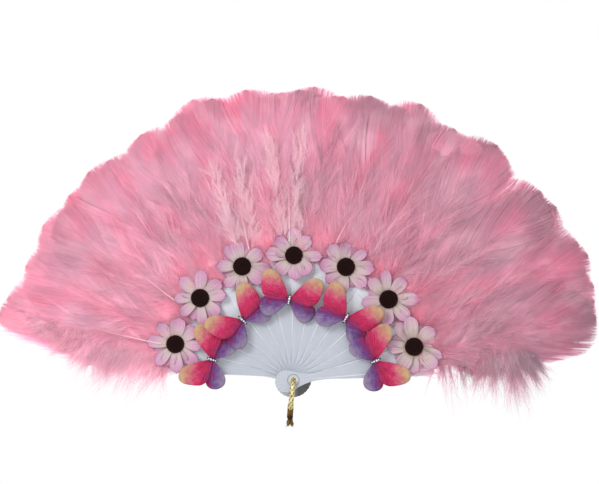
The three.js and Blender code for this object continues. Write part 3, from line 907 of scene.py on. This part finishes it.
def petal_fabric():
    made, tree, shader = material("petal_fabric")
    along = attribute(tree, "along")
    across = attribute(tree, "across")
    tone = attribute(tree, "tone")
    cloudy = clouds(tree, 130.0)
    sprayed = value_of(tree, "ADD", along, span(tree, tone, 0.0, 1.0, -0.26, 0.16))
    sprayed = value_of(tree, "ADD", sprayed, span(tree, cloudy, 0.3, 0.7, -0.12, 0.12))
    colour = ramp(
        tree, sprayed,
        (0.0, shade(162, 146, 134)),
        (0.3, shade(200, 184, 178)),
        (0.58, shade(204, 172, 186)),
        (0.82, shade(204, 154, 184)),
        (1.0, shade(198, 142, 176)),
    )
    lines = value_of(tree, "ADD", across, value_of(tree, "MULTIPLY", tone, 31.0))
    veins = streaks_along(tree, lines, 5.0, 2.0)
    dark = span(tree, veins, 0.5, 0.72, 0.0, 0.55)
    colour = mix(tree, dark, colour, shade(170, 122, 146))
    edge = span(tree, value_of(tree, "ABSOLUTE", across), 0.88, 1.0, 0.0, 0.25)
    colour = mix(tree, edge, colour, shade(176, 116, 160))
    # Plum on the petals' backs, and painted shade on the fronts of the lower layer.
    colour = mix(tree, attribute(tree, "under"), colour, shade(160, 104, 136))
    colour, grain = mottled(tree, colour, 700.0, 0.12)
    relief = value_of(tree, "ADD", veins, value_of(tree, "MULTIPLY", grain, 0.4))
    feed(tree, shader, {
        "Base Color": colour,
        "Roughness": 0.82,
        "Normal": bumped(tree, relief, 0.25, 0.0004),
        "Specular IOR Level": 0.3,
        "Sheen Weight": 0.15,
    })
    return made


def daisy_head(draw, reach, stem_length, lilac):
    """Petals and stem of one flower: vertices, faces and shader values."""
    parts = []
    values = {"along": [], "across": [], "tone": [], "under": []}
    for lift, offset, share, dish in PETAL_LAYERS:
        # Every petal's back is plum; the lower layer's fronts get a painted shade, as they lie under the
        # upper layer.
        shaded = 0.2 if offset else 0.0
        for count in range(PETALS):
            turn = (count + offset + draw.normal(0, 0.12)) / PETALS * 2 * math.pi
            long = reach * share * draw.uniform(0.9, 1.08)
            grid, given = petal(draw, long, turn, lift, PETAL_DISH * dish, lilac, not offset)
            parts.append(thick_sheet(grid, PETAL_THICKNESS))
            for name, value in given.items():
                values[name] += [value.ravel(), value.ravel()]
            values["under"] += [np.full(grid[..., 0].size, shaded), np.ones(grid[..., 0].size)]
    line = np.array([[0, 0, height] for height in (-stem_length, -0.5 * stem_length, 0.0, STEM_TOP)])
    wide = np.array(STEM_WIDTHS)[:, None] * np.full((1, STEM_SIDES), STEM_RADIUS)
    parts.append(tube(line, wide, STEM_SIDES, (1, 0, 0)))
    for name in values:
        values[name].append(np.zeros(len(line) * STEM_SIDES))
    return (*merged(parts), {name: np.concatenate(value) for name, value in values.items()})


def mount(piece, stick, node_name, keep):
    """Glues an ornament to a stick's front face; those of the front guard get no mesh of their own."""
    glue(piece, stick, node_name, keep if stick else None)


petal_finish = petal_fabric()
draw = np.random.default_rng(23)
daisy_count = sum(name.startswith("daisy_petals_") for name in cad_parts)
daisy_sticks = [2 * count for count in range(daisy_count)]
for count, stick in enumerate(daisy_sticks):
    petals_node = f"daisy_petals_{count + 1}"
    centre_low, centre_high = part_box(f"daisy_centre_{count + 1}")
    low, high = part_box(petals_node)
    reach = max(high.x - low.x, high.z - low.z) / 2
    root = low.y + PETAL_DISH + PETAL_SEAT
    middle = ((centre_low.x + centre_high.x) / 2, root, (centre_low.z + centre_high.z) / 2)
    vertices, faces, values = daisy_head(draw, reach, high.y - root, PETAL_LILAC[count])
    piece = new_piece(f"daisy_head_{count + 1}", facing(vertices, middle), faces, petal_finish, values)
    mount(piece, stick, petals_node, DAISY_KEEP)


# Daisy centres: a moulded button on each flower head, coated with glue and dark brown flock.
# The short fibres stand up all over it and catch a little light.
FLOCK_FIBRES = 1100
FLOCK_LENGTH = 0.001
FLOCK_WIDTH = 0.00014
DOME_SIDES = 28
DOME_PROFILE = [
    (0.9, 0.0), (1.0, 0.2), (1.0, 0.45), (0.9, 0.7), (0.7, 0.87), (0.4, 0.97), (0.1, 1.0),
]  # shares of the radius and of the height
FIBRE_ROOTS = ([0.1, 0.4, 0.7, 0.9, 1.0], [1.0, 0.97, 0.87, 0.7, 0.35])  # the same shares, for the fibres


def dark_flock():
    made, tree, shader = material("dark_flock")
    tip = attribute(tree, "tip")
    colour = mix(tree, tip, shade(24, 9, 10), shade(88, 44, 42))
    colour, height = mottled(tree, colour, 1200.0, 0.7)
    feed(tree, shader, {
        "Base Color": colour,
        "Roughness": 0.95,
        "Normal": bumped(tree, height, 0.6, 0.0004),
        "Specular IOR Level": 0.1,
        "Sheen Weight": 0.2,
        "Sheen Roughness": 0.6,
        "Sheen Tint": shade(140, 100, 90),
    })
    return made


def flock_button(draw, radius, height):
    """A dome and its fibres: vertices, faces and shader values."""
    turn = circle(DOME_SIDES)
    ring = np.stack([np.cos(turn), np.sin(turn), np.ones(DOME_SIDES)], axis=-1)
    rings = [ring * np.array([radius * wide, radius * wide, height * high]) for wide, high in DOME_PROFILE]
    dome = (np.vstack(rings), closed_rings(len(rings), DOME_SIDES))
    at = np.sqrt(draw.random(FLOCK_FIBRES))
    around = draw.uniform(0, 2 * math.pi, FLOCK_FIBRES)
    out = np.stack([np.cos(around), np.sin(around)], axis=-1)
    lift = np.interp(at, *FIBRE_ROOTS)
    start = np.hstack([out * (at * radius)[:, None], (lift * height)[:, None]])
    aim = np.hstack([out * (at ** 2)[:, None], (1.05 - at ** 3)[:, None]])
    aim += draw.normal(0, 0.3, (FLOCK_FIBRES, 3))
    aim *= (FLOCK_LENGTH * draw.uniform(0.5, 1.1, FLOCK_FIBRES) / np.linalg.norm(aim, axis=1))[:, None]
    side = np.cross(aim, draw.normal(0, 1, (FLOCK_FIBRES, 3)))
    side *= (FLOCK_WIDTH / 2 / np.linalg.norm(side, axis=1))[:, None]
    end = start + aim
    fibres = np.stack([start - side, start + side, end + side * 0.4, end - side * 0.4], axis=1)
    blades = (fibres.reshape(-1, 3), np.arange(4 * FLOCK_FIBRES).reshape(-1, 4))
    tip = np.concatenate([np.zeros(len(dome[0])), np.tile([0.0, 0.0, 1.0, 1.0], FLOCK_FIBRES)])
    return (*merged([dome, blades]), {"tip": tip})


flock_finish = dark_flock()
for count, stick in enumerate(daisy_sticks):
    centre_node = f"daisy_centre_{count + 1}"
    low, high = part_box(centre_node)
    middle = ((low.x + high.x) / 2, high.y, (low.z + high.z) / 2)
    vertices, faces, values = flock_button(draw, (high.x - low.x) / 2, high.y - low.y)
    piece = new_piece(f"daisy_button_{count + 1}", facing(vertices, middle), faces, flock_finish, values)
    mount(piece, stick, centre_node, DAISY_KEEP)


# Butterflies: four wings of soft printed fabric on a wire foot, glued to a stick in front of the daisies.
# The print runs from tan at the head over salmon and crimson to violet and grey lilac at the tail.
HEADS = (23, 59, 78, 137, 161)  # degrees of each head's direction, from the right
BUTTERFLY_STICKS = (0, 3, 7, 10, 13)
BODY_LENGTH = 0.012
HUB_BEHIND_BODY = 0.0032
UPPER_WING = [
    (0.0006, 0.0014), (0.0065, 0.0115), (0.013, 0.0195), (0.0185, 0.0222), (0.0242, 0.0205),
    (0.0262, 0.0152), (0.0248, 0.0065), (0.0222, 0.0008), (0.016, -0.0022), (0.0008, -0.0008),
]
LOWER_WING = [
    (0.0008, 0.0006), (0.015, 0.0002), (0.0215, -0.0022), (0.0236, -0.007), (0.0218, -0.0128),
    (0.0168, -0.0165), (0.0108, -0.0152), (0.0056, -0.0096), (0.0006, -0.0016),
]  # out from the body and towards the head
PRINT_START = 0.0175  # the print's tail end, behind the body's middle
PRINT_LENGTH = 0.0405
PRINT_WIDTH = 0.026
WING_SLOPES = (math.tan(math.radians(8)), math.tan(math.radians(-5)))
WING_ROOT = (0.0004, 0.0, 0.0)
WING_BOW = 0.0016
WING_WAVE = 0.00028
FIBRE_STEP = 1.7
WING_ROWS = 12
WING_COLUMNS = 48
WING_THICKNESS = 0.0003
WING_KEEP = 0.017  # marks the butterflies as soft, so each gets a mesh of its own


def smooth_line(points, count):
    """Evenly spaced points on a smooth curve through the given ones."""
    points = np.array(points, float)
    ends = np.vstack([2 * points[0] - points[1], points, 2 * points[-1] - points[-2]])
    share = np.linspace(0, 1, 24, endpoint=False)[:, None]
    runs = []
    for before, start, stop, after in zip(ends, ends[1:], ends[2:], ends[3:]):
        runs.append(0.5 * (
            2 * start + (stop - before) * share
            + (2 * before - 5 * start + 4 * stop - after) * share ** 2
            + (3 * start - before - 3 * stop + after) * share ** 3
        ))
    fine = np.vstack(runs + [points[-1:]])
    walked = np.concatenate([[0], np.cumsum(np.linalg.norm(np.diff(fine, axis=0), axis=1))])
    at = np.linspace(0, walked[-1], count)
    return np.stack([np.interp(at, walked, fine[:, axis]) for axis in range(3)], axis=-1), walked[-1]


def wing(draw, outline, slope, side):
    """One wing's grid of points, out, towards the head and forward of the body's middle."""
    rim, _ = smooth_line([(out, ahead, 0) for out, ahead in outline], WING_COLUMNS)
    root = np.array(WING_ROOT)
    share = np.linspace(0.04, 1, WING_ROWS)[:, None, None]
    grid = root + (rim - root)[None] * share
    far = np.hypot(grid[..., 0], grid[..., 1])
    around = np.linspace(0, 1, WING_COLUMNS)[None]
    share = share[..., 0]
    waves = WING_WAVE * np.sin(around * 23 + draw.uniform(0, 6)) * share
    bow = WING_BOW * np.sin(share * math.pi * draw.uniform(0.7, 1.1))
    grid[..., 2] = slope * far + bow + waves
    grid[..., 0] *= side
    return grid[:, ::-1] if side > 0 else grid


def printed_wing():
    made, tree, shader = material("printed_wing")
    place = value_of(tree, "MULTIPLY_ADD", attribute(tree, "out"), 0.1, attribute(tree, "ahead"))
    soft = clouds(tree, 220.0, 6.0, 0.7)
    place = value_of(tree, "ADD", place, span(tree, soft, 0.25, 0.75, -0.12, 0.12))
    colour = ramp(
        tree, place,
        (0.0, shade(148, 140, 156)),
        (0.2, shade(123, 104, 143)),
        (0.34, shade(88, 48, 119)),
        (0.43, shade(136, 6, 82)),
        (0.54, shade(166, 0, 64)),
        (0.68, shade(188, 22, 84)),
        (0.8, shade(192, 88, 110)),
        (0.9, shade(186, 131, 106)),
        (1.0, shade(190, 156, 118)),
    )
    fibres = clouds(tree, 900.0, 4.0, 0.8)
    rows = streaks_along(tree, attribute(tree, "fibre"), 1.0, 3.0)
    streaks = value_of(tree, "MULTIPLY_ADD", rows, 0.7, value_of(tree, "MULTIPLY", fibres, 0.3))
    pale = span(tree, streaks, 0.46, 0.7, 0.0, 0.22)
    colour = mix(tree, pale, colour, shade(224, 178, 196))
    colour, grain = mottled(tree, colour, 260.0, 0.5)
    feed(tree, shader, {
        "Base Color": colour,
        "Roughness": 0.85,
        "Normal": bumped(tree, value_of(tree, "ADD", fibres, grain), 0.4, 0.0004),
        "Specular IOR Level": 0.2,
        "Sheen Weight": 0.15,
        "Sheen Roughness": 0.4,
    })
    return made


def body_frame(count):
    """The middle of a butterfly's wings, and the directions of its head and left side, right and up."""
    low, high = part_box(f"butterfly_body_{count + 1}")
    turn = math.radians(HEADS[count])
    head = np.array([math.cos(turn), math.sin(turn), 0.0])
    left = np.array([-math.sin(turn), math.cos(turn), 0.0])
    hub = np.array([(low.x + high.x) / 2, (low.y + high.y) / 2 + HUB_BEHIND_BODY, (low.z + high.z) / 2])
    hub += 0.1 * BODY_LENGTH * np.array([head[0], 0, head[1]])
    return hub, head, left


wing_finish = printed_wing()
draw = np.random.default_rng(31)
for count, stick in enumerate(BUTTERFLY_STICKS):
    wings_node = f"butterfly_wings_{count + 1}"
    hub, head, left = body_frame(count)
    parts = []
    values = {"ahead": [], "out": [], "fibre": []}
    for outline, slope in zip((LOWER_WING, UPPER_WING), reversed(WING_SLOPES)):
        for side in (1, -1):
            grid = wing(draw, outline, slope, side)
            turned = grid @ np.array([left, head, [0, 0, 1.0]])
            parts.append(thick_sheet(turned, WING_THICKNESS))
            values["ahead"] += [(grid[..., 1].ravel() + PRINT_START) / PRINT_LENGTH] * 2
            values["out"] += [np.abs(grid[..., 0].ravel()) / PRINT_WIDTH] * 2
            fibre = np.arange(WING_COLUMNS) * FIBRE_STEP + draw.uniform(0, 99)
            values["fibre"] += [np.tile(fibre, WING_ROWS)] * 2
    vertices, faces = merged(parts)
    values = {name: np.concatenate(value) for name, value in values.items()}
    piece = new_piece(f"butterfly_print_{count + 1}", facing(vertices, hub), faces, wing_finish, values)
    mount(piece, stick, wings_node, WING_KEEP)


# Butterfly bodies: a short row of cut stones in a dark metal setting on top of the wings.
# A wire from the setting goes down through the wings to the stick.
STONES = [
    (0.0027, 0.001), (0.0009, 0.0014), (-0.0013, 0.0012), (-0.0031, 0.0009),
]  # place on the body, radius
STONE_SIDES = 8
STONE_RINGS = [(0.8, 0.0), (1.0, 0.4), (0.62, 0.95)]  # width and height, in radii
STONE_LIFT = 0.0004
SETTING_SEAT = 0.0012  # in front of the wings' middle
SETTING_RADIUS = 0.0014
SETTING_RINGS = 9
SETTING_SIDES = 8
SETTING_ENDS = (0.4, -0.42)  # shares of the body's length, towards the head and the tail
SETTING_TAPER = 0.25  # how far round its bulge each end is cut off
WIRE_RADIUS = 0.0007
WIRE_RINGS = 5
WIRE_SIDES = 6


def set_stones():
    made, tree, shader = material("set_stones")
    stone = attribute(tree, "stone")
    place = node(tree, "TexCoord").outputs["Object"]
    facets = node(tree, "TexVoronoi", {"Vector": place, "Scale": 1100.0}).outputs["Distance"]
    bright = mix(tree, facets, shade(204, 206, 214), shade(138, 140, 150))
    colour, grain = mottled(tree, mix(tree, stone, shade(70, 62, 66), bright), 800.0, 0.15)
    feed(tree, shader, {
        "Base Color": colour,
        "Metallic": 0.9,
        "Roughness": span(tree, stone, 0.0, 1.0, 0.4, 0.08),
        "Normal": bumped(tree, grain, 0.1, 0.0001),
    })
    return made


def cut_stone(middle, radius, turn):
    """A faceted stone with a flat table, to the right, up and forward."""
    around = circle(STONE_SIDES)
    rings = []
    for level, (wide, high) in enumerate(STONE_RINGS):
        at = around + turn + level * math.pi / STONE_SIDES
        flat = radius * wide * np.stack([np.cos(at), np.sin(at), np.zeros(STONE_SIDES)], axis=-1)
        rings.append(middle + flat + np.array([0, 0, radius * high]))
    *walls, bottom, table = closed_rings(len(rings), STONE_SIDES)
    facets = [[wall[pick] for pick in half] for wall in walls for half in ((0, 1, 3), (1, 2, 3))]
    return np.vstack(rings), facets + [table, bottom]


stone_finish = set_stones()
for count, stick in enumerate(BUTTERFLY_STICKS):
    body_node = f"butterfly_body_{count + 1}"
    _, wings_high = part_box(f"butterfly_wings_{count + 1}")
    hub, head, _ = body_frame(count)
    ahead = np.array([0, 0, 1.0])
    line = np.linspace(*SETTING_ENDS, SETTING_RINGS)[:, None] * BODY_LENGTH * head + SETTING_SEAT * ahead
    swell = np.sin(np.linspace(SETTING_TAPER, math.pi - SETTING_TAPER, SETTING_RINGS))[:, None]
    setting = tube(line, SETTING_RADIUS * swell * np.ones((1, SETTING_SIDES)), SETTING_SIDES, (0, 0, 1))
    line = np.linspace(SETTING_SEAT, hub[1] - wings_high.y, WIRE_RINGS)[:, None] * ahead
    wire = tube(line, np.full((WIRE_RINGS, WIRE_SIDES), WIRE_RADIUS), WIRE_SIDES, (1, 0, 0))
    stones = [
        cut_stone(place * head + (SETTING_SEAT + STONE_LIFT) * ahead, radius, math.radians(HEADS[count]))
        for place, radius in STONES
    ]
    vertices, faces = merged([setting, wire, *stones])
    metal = len(setting[0]) + len(wire[0])
    values = {"stone": (np.arange(len(vertices)) >= metal).astype(float)}
    vertices = facing(vertices, hub)
    piece = new_piece(f"butterfly_stones_{count + 1}", vertices, faces, stone_finish, values, smooth=False)
    mount(piece, stick, body_node, WING_KEEP)


# Cord loop: a braided gold cord that runs through the eyelet and hangs below the sticks as a short loop.
# It is a limp tube of lurex strands; the route is the same in front and behind.
CORD_RADIUS = 0.0019
CORD_RINGS = 340
CORD_SIDES = 24
BRAID_PITCH = 0.0044
BRAID_STRANDS = 4
CORD_ROUTE = [
    (0, -0.0005, 0), (0, -0.006, 0), (0, -0.0123, 0),
    (-0.0001, -0.01595, -0.00098), (-0.0004, -0.0186, -0.00365),
    (-0.0008, -0.0196, -0.0073), (-0.0014, -0.0195, -0.013), (-0.002, -0.0184, -0.0193),
    (-0.0025, -0.015, -0.0248), (-0.0028, -0.0098, -0.0288), (-0.0029, -0.0051, -0.0307),
]
CORD_LOWEST = (-0.0029, 0, -0.0313)
BRAID_RELIEF = (0.94, 0.18)  # radius in the valleys and height of the strands, in radii of the cord


def braid(walked, sides, pitch, strands):
    """How far a braid stands out at each ring and side, from 0 to 1, and which way its top strand runs."""
    turn = circle(sides)
    uneven = 0.7 * np.sin(walked / 0.0031) + 0.5 * np.sin(walked / 0.0013)
    climb = (walked / pitch * 2 * math.pi + uneven)[:, None]
    right = np.cos(strands * turn + climb)
    left = np.cos(strands * turn - climb)
    return 0.5 + 0.5 * np.maximum(right, left), (right > left).astype(float)


def gold_lurex(name, bright, dark):
    made, tree, shader = material(name)
    height = attribute(tree, "height")
    strand = attribute(tree, "strand")
    place = node(tree, "TexCoord").outputs["Object"]
    glints = node(tree, "TexVoronoi", {"Vector": place, "Scale": 1500.0}).outputs["Color"]
    spark = node(tree, "SeparateColor", {0: glints}).outputs[0]
    # Painted light and shade: raised strands are painted brighter and the valleys between them darker, with
    # painted glints from the cells.
    lit = value_of(tree, "MULTIPLY", height, span(tree, spark, 0.0, 1.0, 0.55, 1.15))
    tone = mix(tree, lit, dark, bright)
    tone = mix(tree, value_of(tree, "MULTIPLY", strand, 0.25), tone, dark)
    colour, grain = mottled(tree, tone, 900.0, 0.4)
    feed(tree, shader, {
        "Base Color": colour,
        "Metallic": 0.85,
        "Roughness": span(tree, spark, 0.0, 1.0, 0.22, 0.5),
        "Normal": bumped(tree, value_of(tree, "ADD", grain, spark), 0.5, 0.0003),
    })
    return made


mirrored = [(x, -y, z) for x, y, z in reversed(CORD_ROUTE)]
cord_line, cord_length = smooth_line(CORD_ROUTE + [CORD_LOWEST] + mirrored, CORD_RINGS)
cord_walked = np.linspace(0, cord_length, CORD_RINGS)
cord_height, cord_strand = braid(cord_walked, CORD_SIDES, BRAID_PITCH, BRAID_STRANDS)
cord_wide = CORD_RADIUS * (BRAID_RELIEF[0] + BRAID_RELIEF[1] * cord_height)
vertices, faces = tube(cord_line, cord_wide, CORD_SIDES, (0, 0, 1))
bright_gold = gold_lurex("gold_lurex", shade(255, 242, 180), shade(84, 62, 22))
cord_values = {"height": cord_height.ravel(), "strand": cord_strand.ravel()}
cord_piece = new_piece("gold_loop", vertices, faces, bright_gold, cord_values)
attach(cord_piece, "blade_01")
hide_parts("loop_cord")


# Tie: the lower end of the loop is wound with dark gold thread, which binds the cord's two cut ends to it
# at the lowest point. Below the binding the ends stand apart and fray. The dark thread wound along the
# lower bend stands partly for painted shade where the loop curves under, and grows darker still at the
# lowest point.
TIE_LENGTH = 0.0062
TIE_RADIUS = 0.0026
WOUND_LENGTH = 0.039
WOUND_RADIUS = 0.0021
THREAD_TURNS = 48
THREAD_STEPS = 16  # for each turn
THREAD_RADIUS = 0.0004
THREAD_SIDES = 6
SLEEVE_RINGS = 12
SLEEVE_SIDES = 14
END_LENGTH = 0.0058
END_SPLAY = math.radians(14)
END_RINGS = 14
END_SIDES = 12
END_RADII = ([0, 0.7, 1], [0.0015, 0.0015, 0.0011])
END_STRANDS = 3
END_RELIEF = 0.12
FRAY_COUNT = 26
FRAY_FROM = 9  # ring of the end
FRAY_LENGTHS = (0.002, 0.0034)
FRAY_RADIUS = 0.00011
FRAY_SIDES = 4

lowest = np.array(CORD_LOWEST)
at = cord_length / 2 + np.linspace(-0.5, 0.5, THREAD_STEPS * THREAD_TURNS) * WOUND_LENGTH
core = np.stack([np.interp(at, cord_walked, cord_line[:, axis]) for axis in range(3)], axis=-1)
ahead = np.gradient(core, axis=0)
ahead /= np.linalg.norm(ahead, axis=1, keepdims=True)
up = np.cross(ahead, (1, 0, 0))
turn = np.linspace(0, THREAD_TURNS * 2 * math.pi, len(core))[:, None]
coil = core + WOUND_RADIUS * (np.cos(turn) * np.array([1, 0, 0]) + np.sin(turn) * up)
tie_parts = [tube(coil, np.full((len(coil), THREAD_SIDES), THREAD_RADIUS), THREAD_SIDES, (0, 1, 0))]
sleeve = lowest + np.linspace(-0.5, 0.5, SLEEVE_RINGS)[:, None] * np.array([0, TIE_LENGTH, 0])
sleeve_wide = np.full((SLEEVE_RINGS, SLEEVE_SIDES), TIE_RADIUS)
tie_parts.append(tube(sleeve, sleeve_wide, SLEEVE_SIDES, (1, 0, 0)))
draw = np.random.default_rng(5)
for side in (1, -1):
    aim = np.array([math.sin(END_SPLAY) * side, 0, -math.cos(END_SPLAY)])
    share = np.linspace(0, 1, END_RINGS)
    stem = lowest + aim * (TIE_RADIUS * 0.6 + share[:, None] * END_LENGTH)
    wide = np.interp(share, *END_RADII)[:, None]
    ridges = 1 + END_RELIEF * np.cos(END_STRANDS * circle(END_SIDES) + share[:, None] * 9)
    tie_parts.append(tube(stem, wide * ridges, END_SIDES, (0, 1, 0)))
    for _ in range(FRAY_COUNT):
        lean = draw.normal(0, 0.28, 3)
        start = stem[FRAY_FROM] + draw.normal(0, 0.0005, 3)
        fray_aim = (aim + lean) / np.linalg.norm(aim + lean) * draw.uniform(*FRAY_LENGTHS)
        fray = start + share[::3, None] ** 1.1 * fray_aim
        tie_parts.append(tube(fray, np.full((len(fray), FRAY_SIDES), FRAY_RADIUS), FRAY_SIDES, (0, 1, 0)))
vertices, faces = merged(tie_parts)
# Painted shade: the binding darkens towards the loop's lowest point, where the loop curves under.
height = np.clip(np.hypot(vertices[:, 0] - lowest[0], vertices[:, 2] - lowest[2]) / 0.003 - 0.4, 0, 1)
tie_values = {"height": height, "strand": draw.random(len(vertices))}
dark_gold = gold_lurex("dark_thread_and_painted_shade", shade(122, 92, 46), shade(50, 34, 14))
tie_piece = new_piece("loop_binding", vertices, faces, dark_gold, tie_values)
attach(tie_piece, "blade_01")
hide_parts("loop_tie")


# Studio: a pale floor below the fan, a soft key light from the upper left in front, a weak wide fill light
# from the front, and one light behind. The camera looks straight at the front. The surround is white to the
# camera, in reflections and through clear pieces, and lights the fan a little less.
FLOOR_HEIGHT = -0.2
FLOOR_RADIUS = 0.6
FLOOR_SIDES = 96
SURROUND_LIGHT = 0.57
CAMERA_AT = (0.005, -1.2, 0.114)
PICTURE_WIDTH = 0.4992  # seen at the fan's distance
SENSOR = 36.0
LIGHTS = [
    ("key", (-0.6, -0.98, 0.56), 0.45, 7.7),
    ("fill", (0.2, -1.2, 0.1), 0.8, 2.3),
    ("back", (0.3, 1.0, 0.8), 0.6, 10.0),
]  # place, size and power
LIT_POINT = (0, 0, 0.1)


def pale_floor():
    made, tree, shader = material("pale_floor")
    colour, height = mottled(tree, shade(236, 235, 233), 12.0, 0.03)
    feed(tree, shader, {
        "Base Color": colour,
        "Roughness": 0.7,
        "Normal": bumped(tree, height, 0.05, 0.001),
    })
    return made


turn = circle(FLOOR_SIDES)
rim = [FLOOR_RADIUS * np.cos(turn), FLOOR_RADIUS * np.sin(turn), np.full(FLOOR_SIDES, FLOOR_HEIGHT)]
floor = new_piece("floor", np.stack(rim, axis=-1), [list(range(FLOOR_SIDES))], pale_floor())
floor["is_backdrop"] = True

for name, place, size, power in LIGHTS:
    lamp = bpy.data.lights.new(name, "AREA")
    lamp.size = size
    lamp.energy = power
    holder = bpy.data.objects.new(name, lamp)
    holder.location = place
    aim = np.array(LIT_POINT) - np.array(place)
    holder.rotation_euler = Vector(aim).to_track_quat("-Z", "Y").to_euler()
    bpy.context.scene.collection.objects.link(holder)

world = bpy.data.worlds.new("surround")
bpy.context.scene.world = world
world.use_nodes = True
tree = world.node_tree
ray = node(tree, "LightPath").outputs
seen = value_of(tree, "MAXIMUM", ray["Is Camera Ray"], ray["Is Glossy Ray"])
seen = value_of(tree, "MAXIMUM", seen, ray["Is Transmission Ray"])
strength = span(tree, seen, 0.0, 1.0, SURROUND_LIGHT, 1.0)
feed(tree, tree.nodes["Background"], {"Color": (1, 1, 1, 1), "Strength": strength})

camera = bpy.data.cameras.new("camera")
camera.sensor_width = SENSOR
camera.lens = SENSOR * -CAMERA_AT[1] / PICTURE_WIDTH
holder = bpy.data.objects.new("camera", camera)
holder.location = CAMERA_AT
holder.rotation_euler = (math.pi / 2, 0, 0)
bpy.context.scene.collection.objects.link(holder)
bpy.context.scene.camera = holder
bpy.context.scene.view_settings.view_transform = "Standard"

low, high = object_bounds()
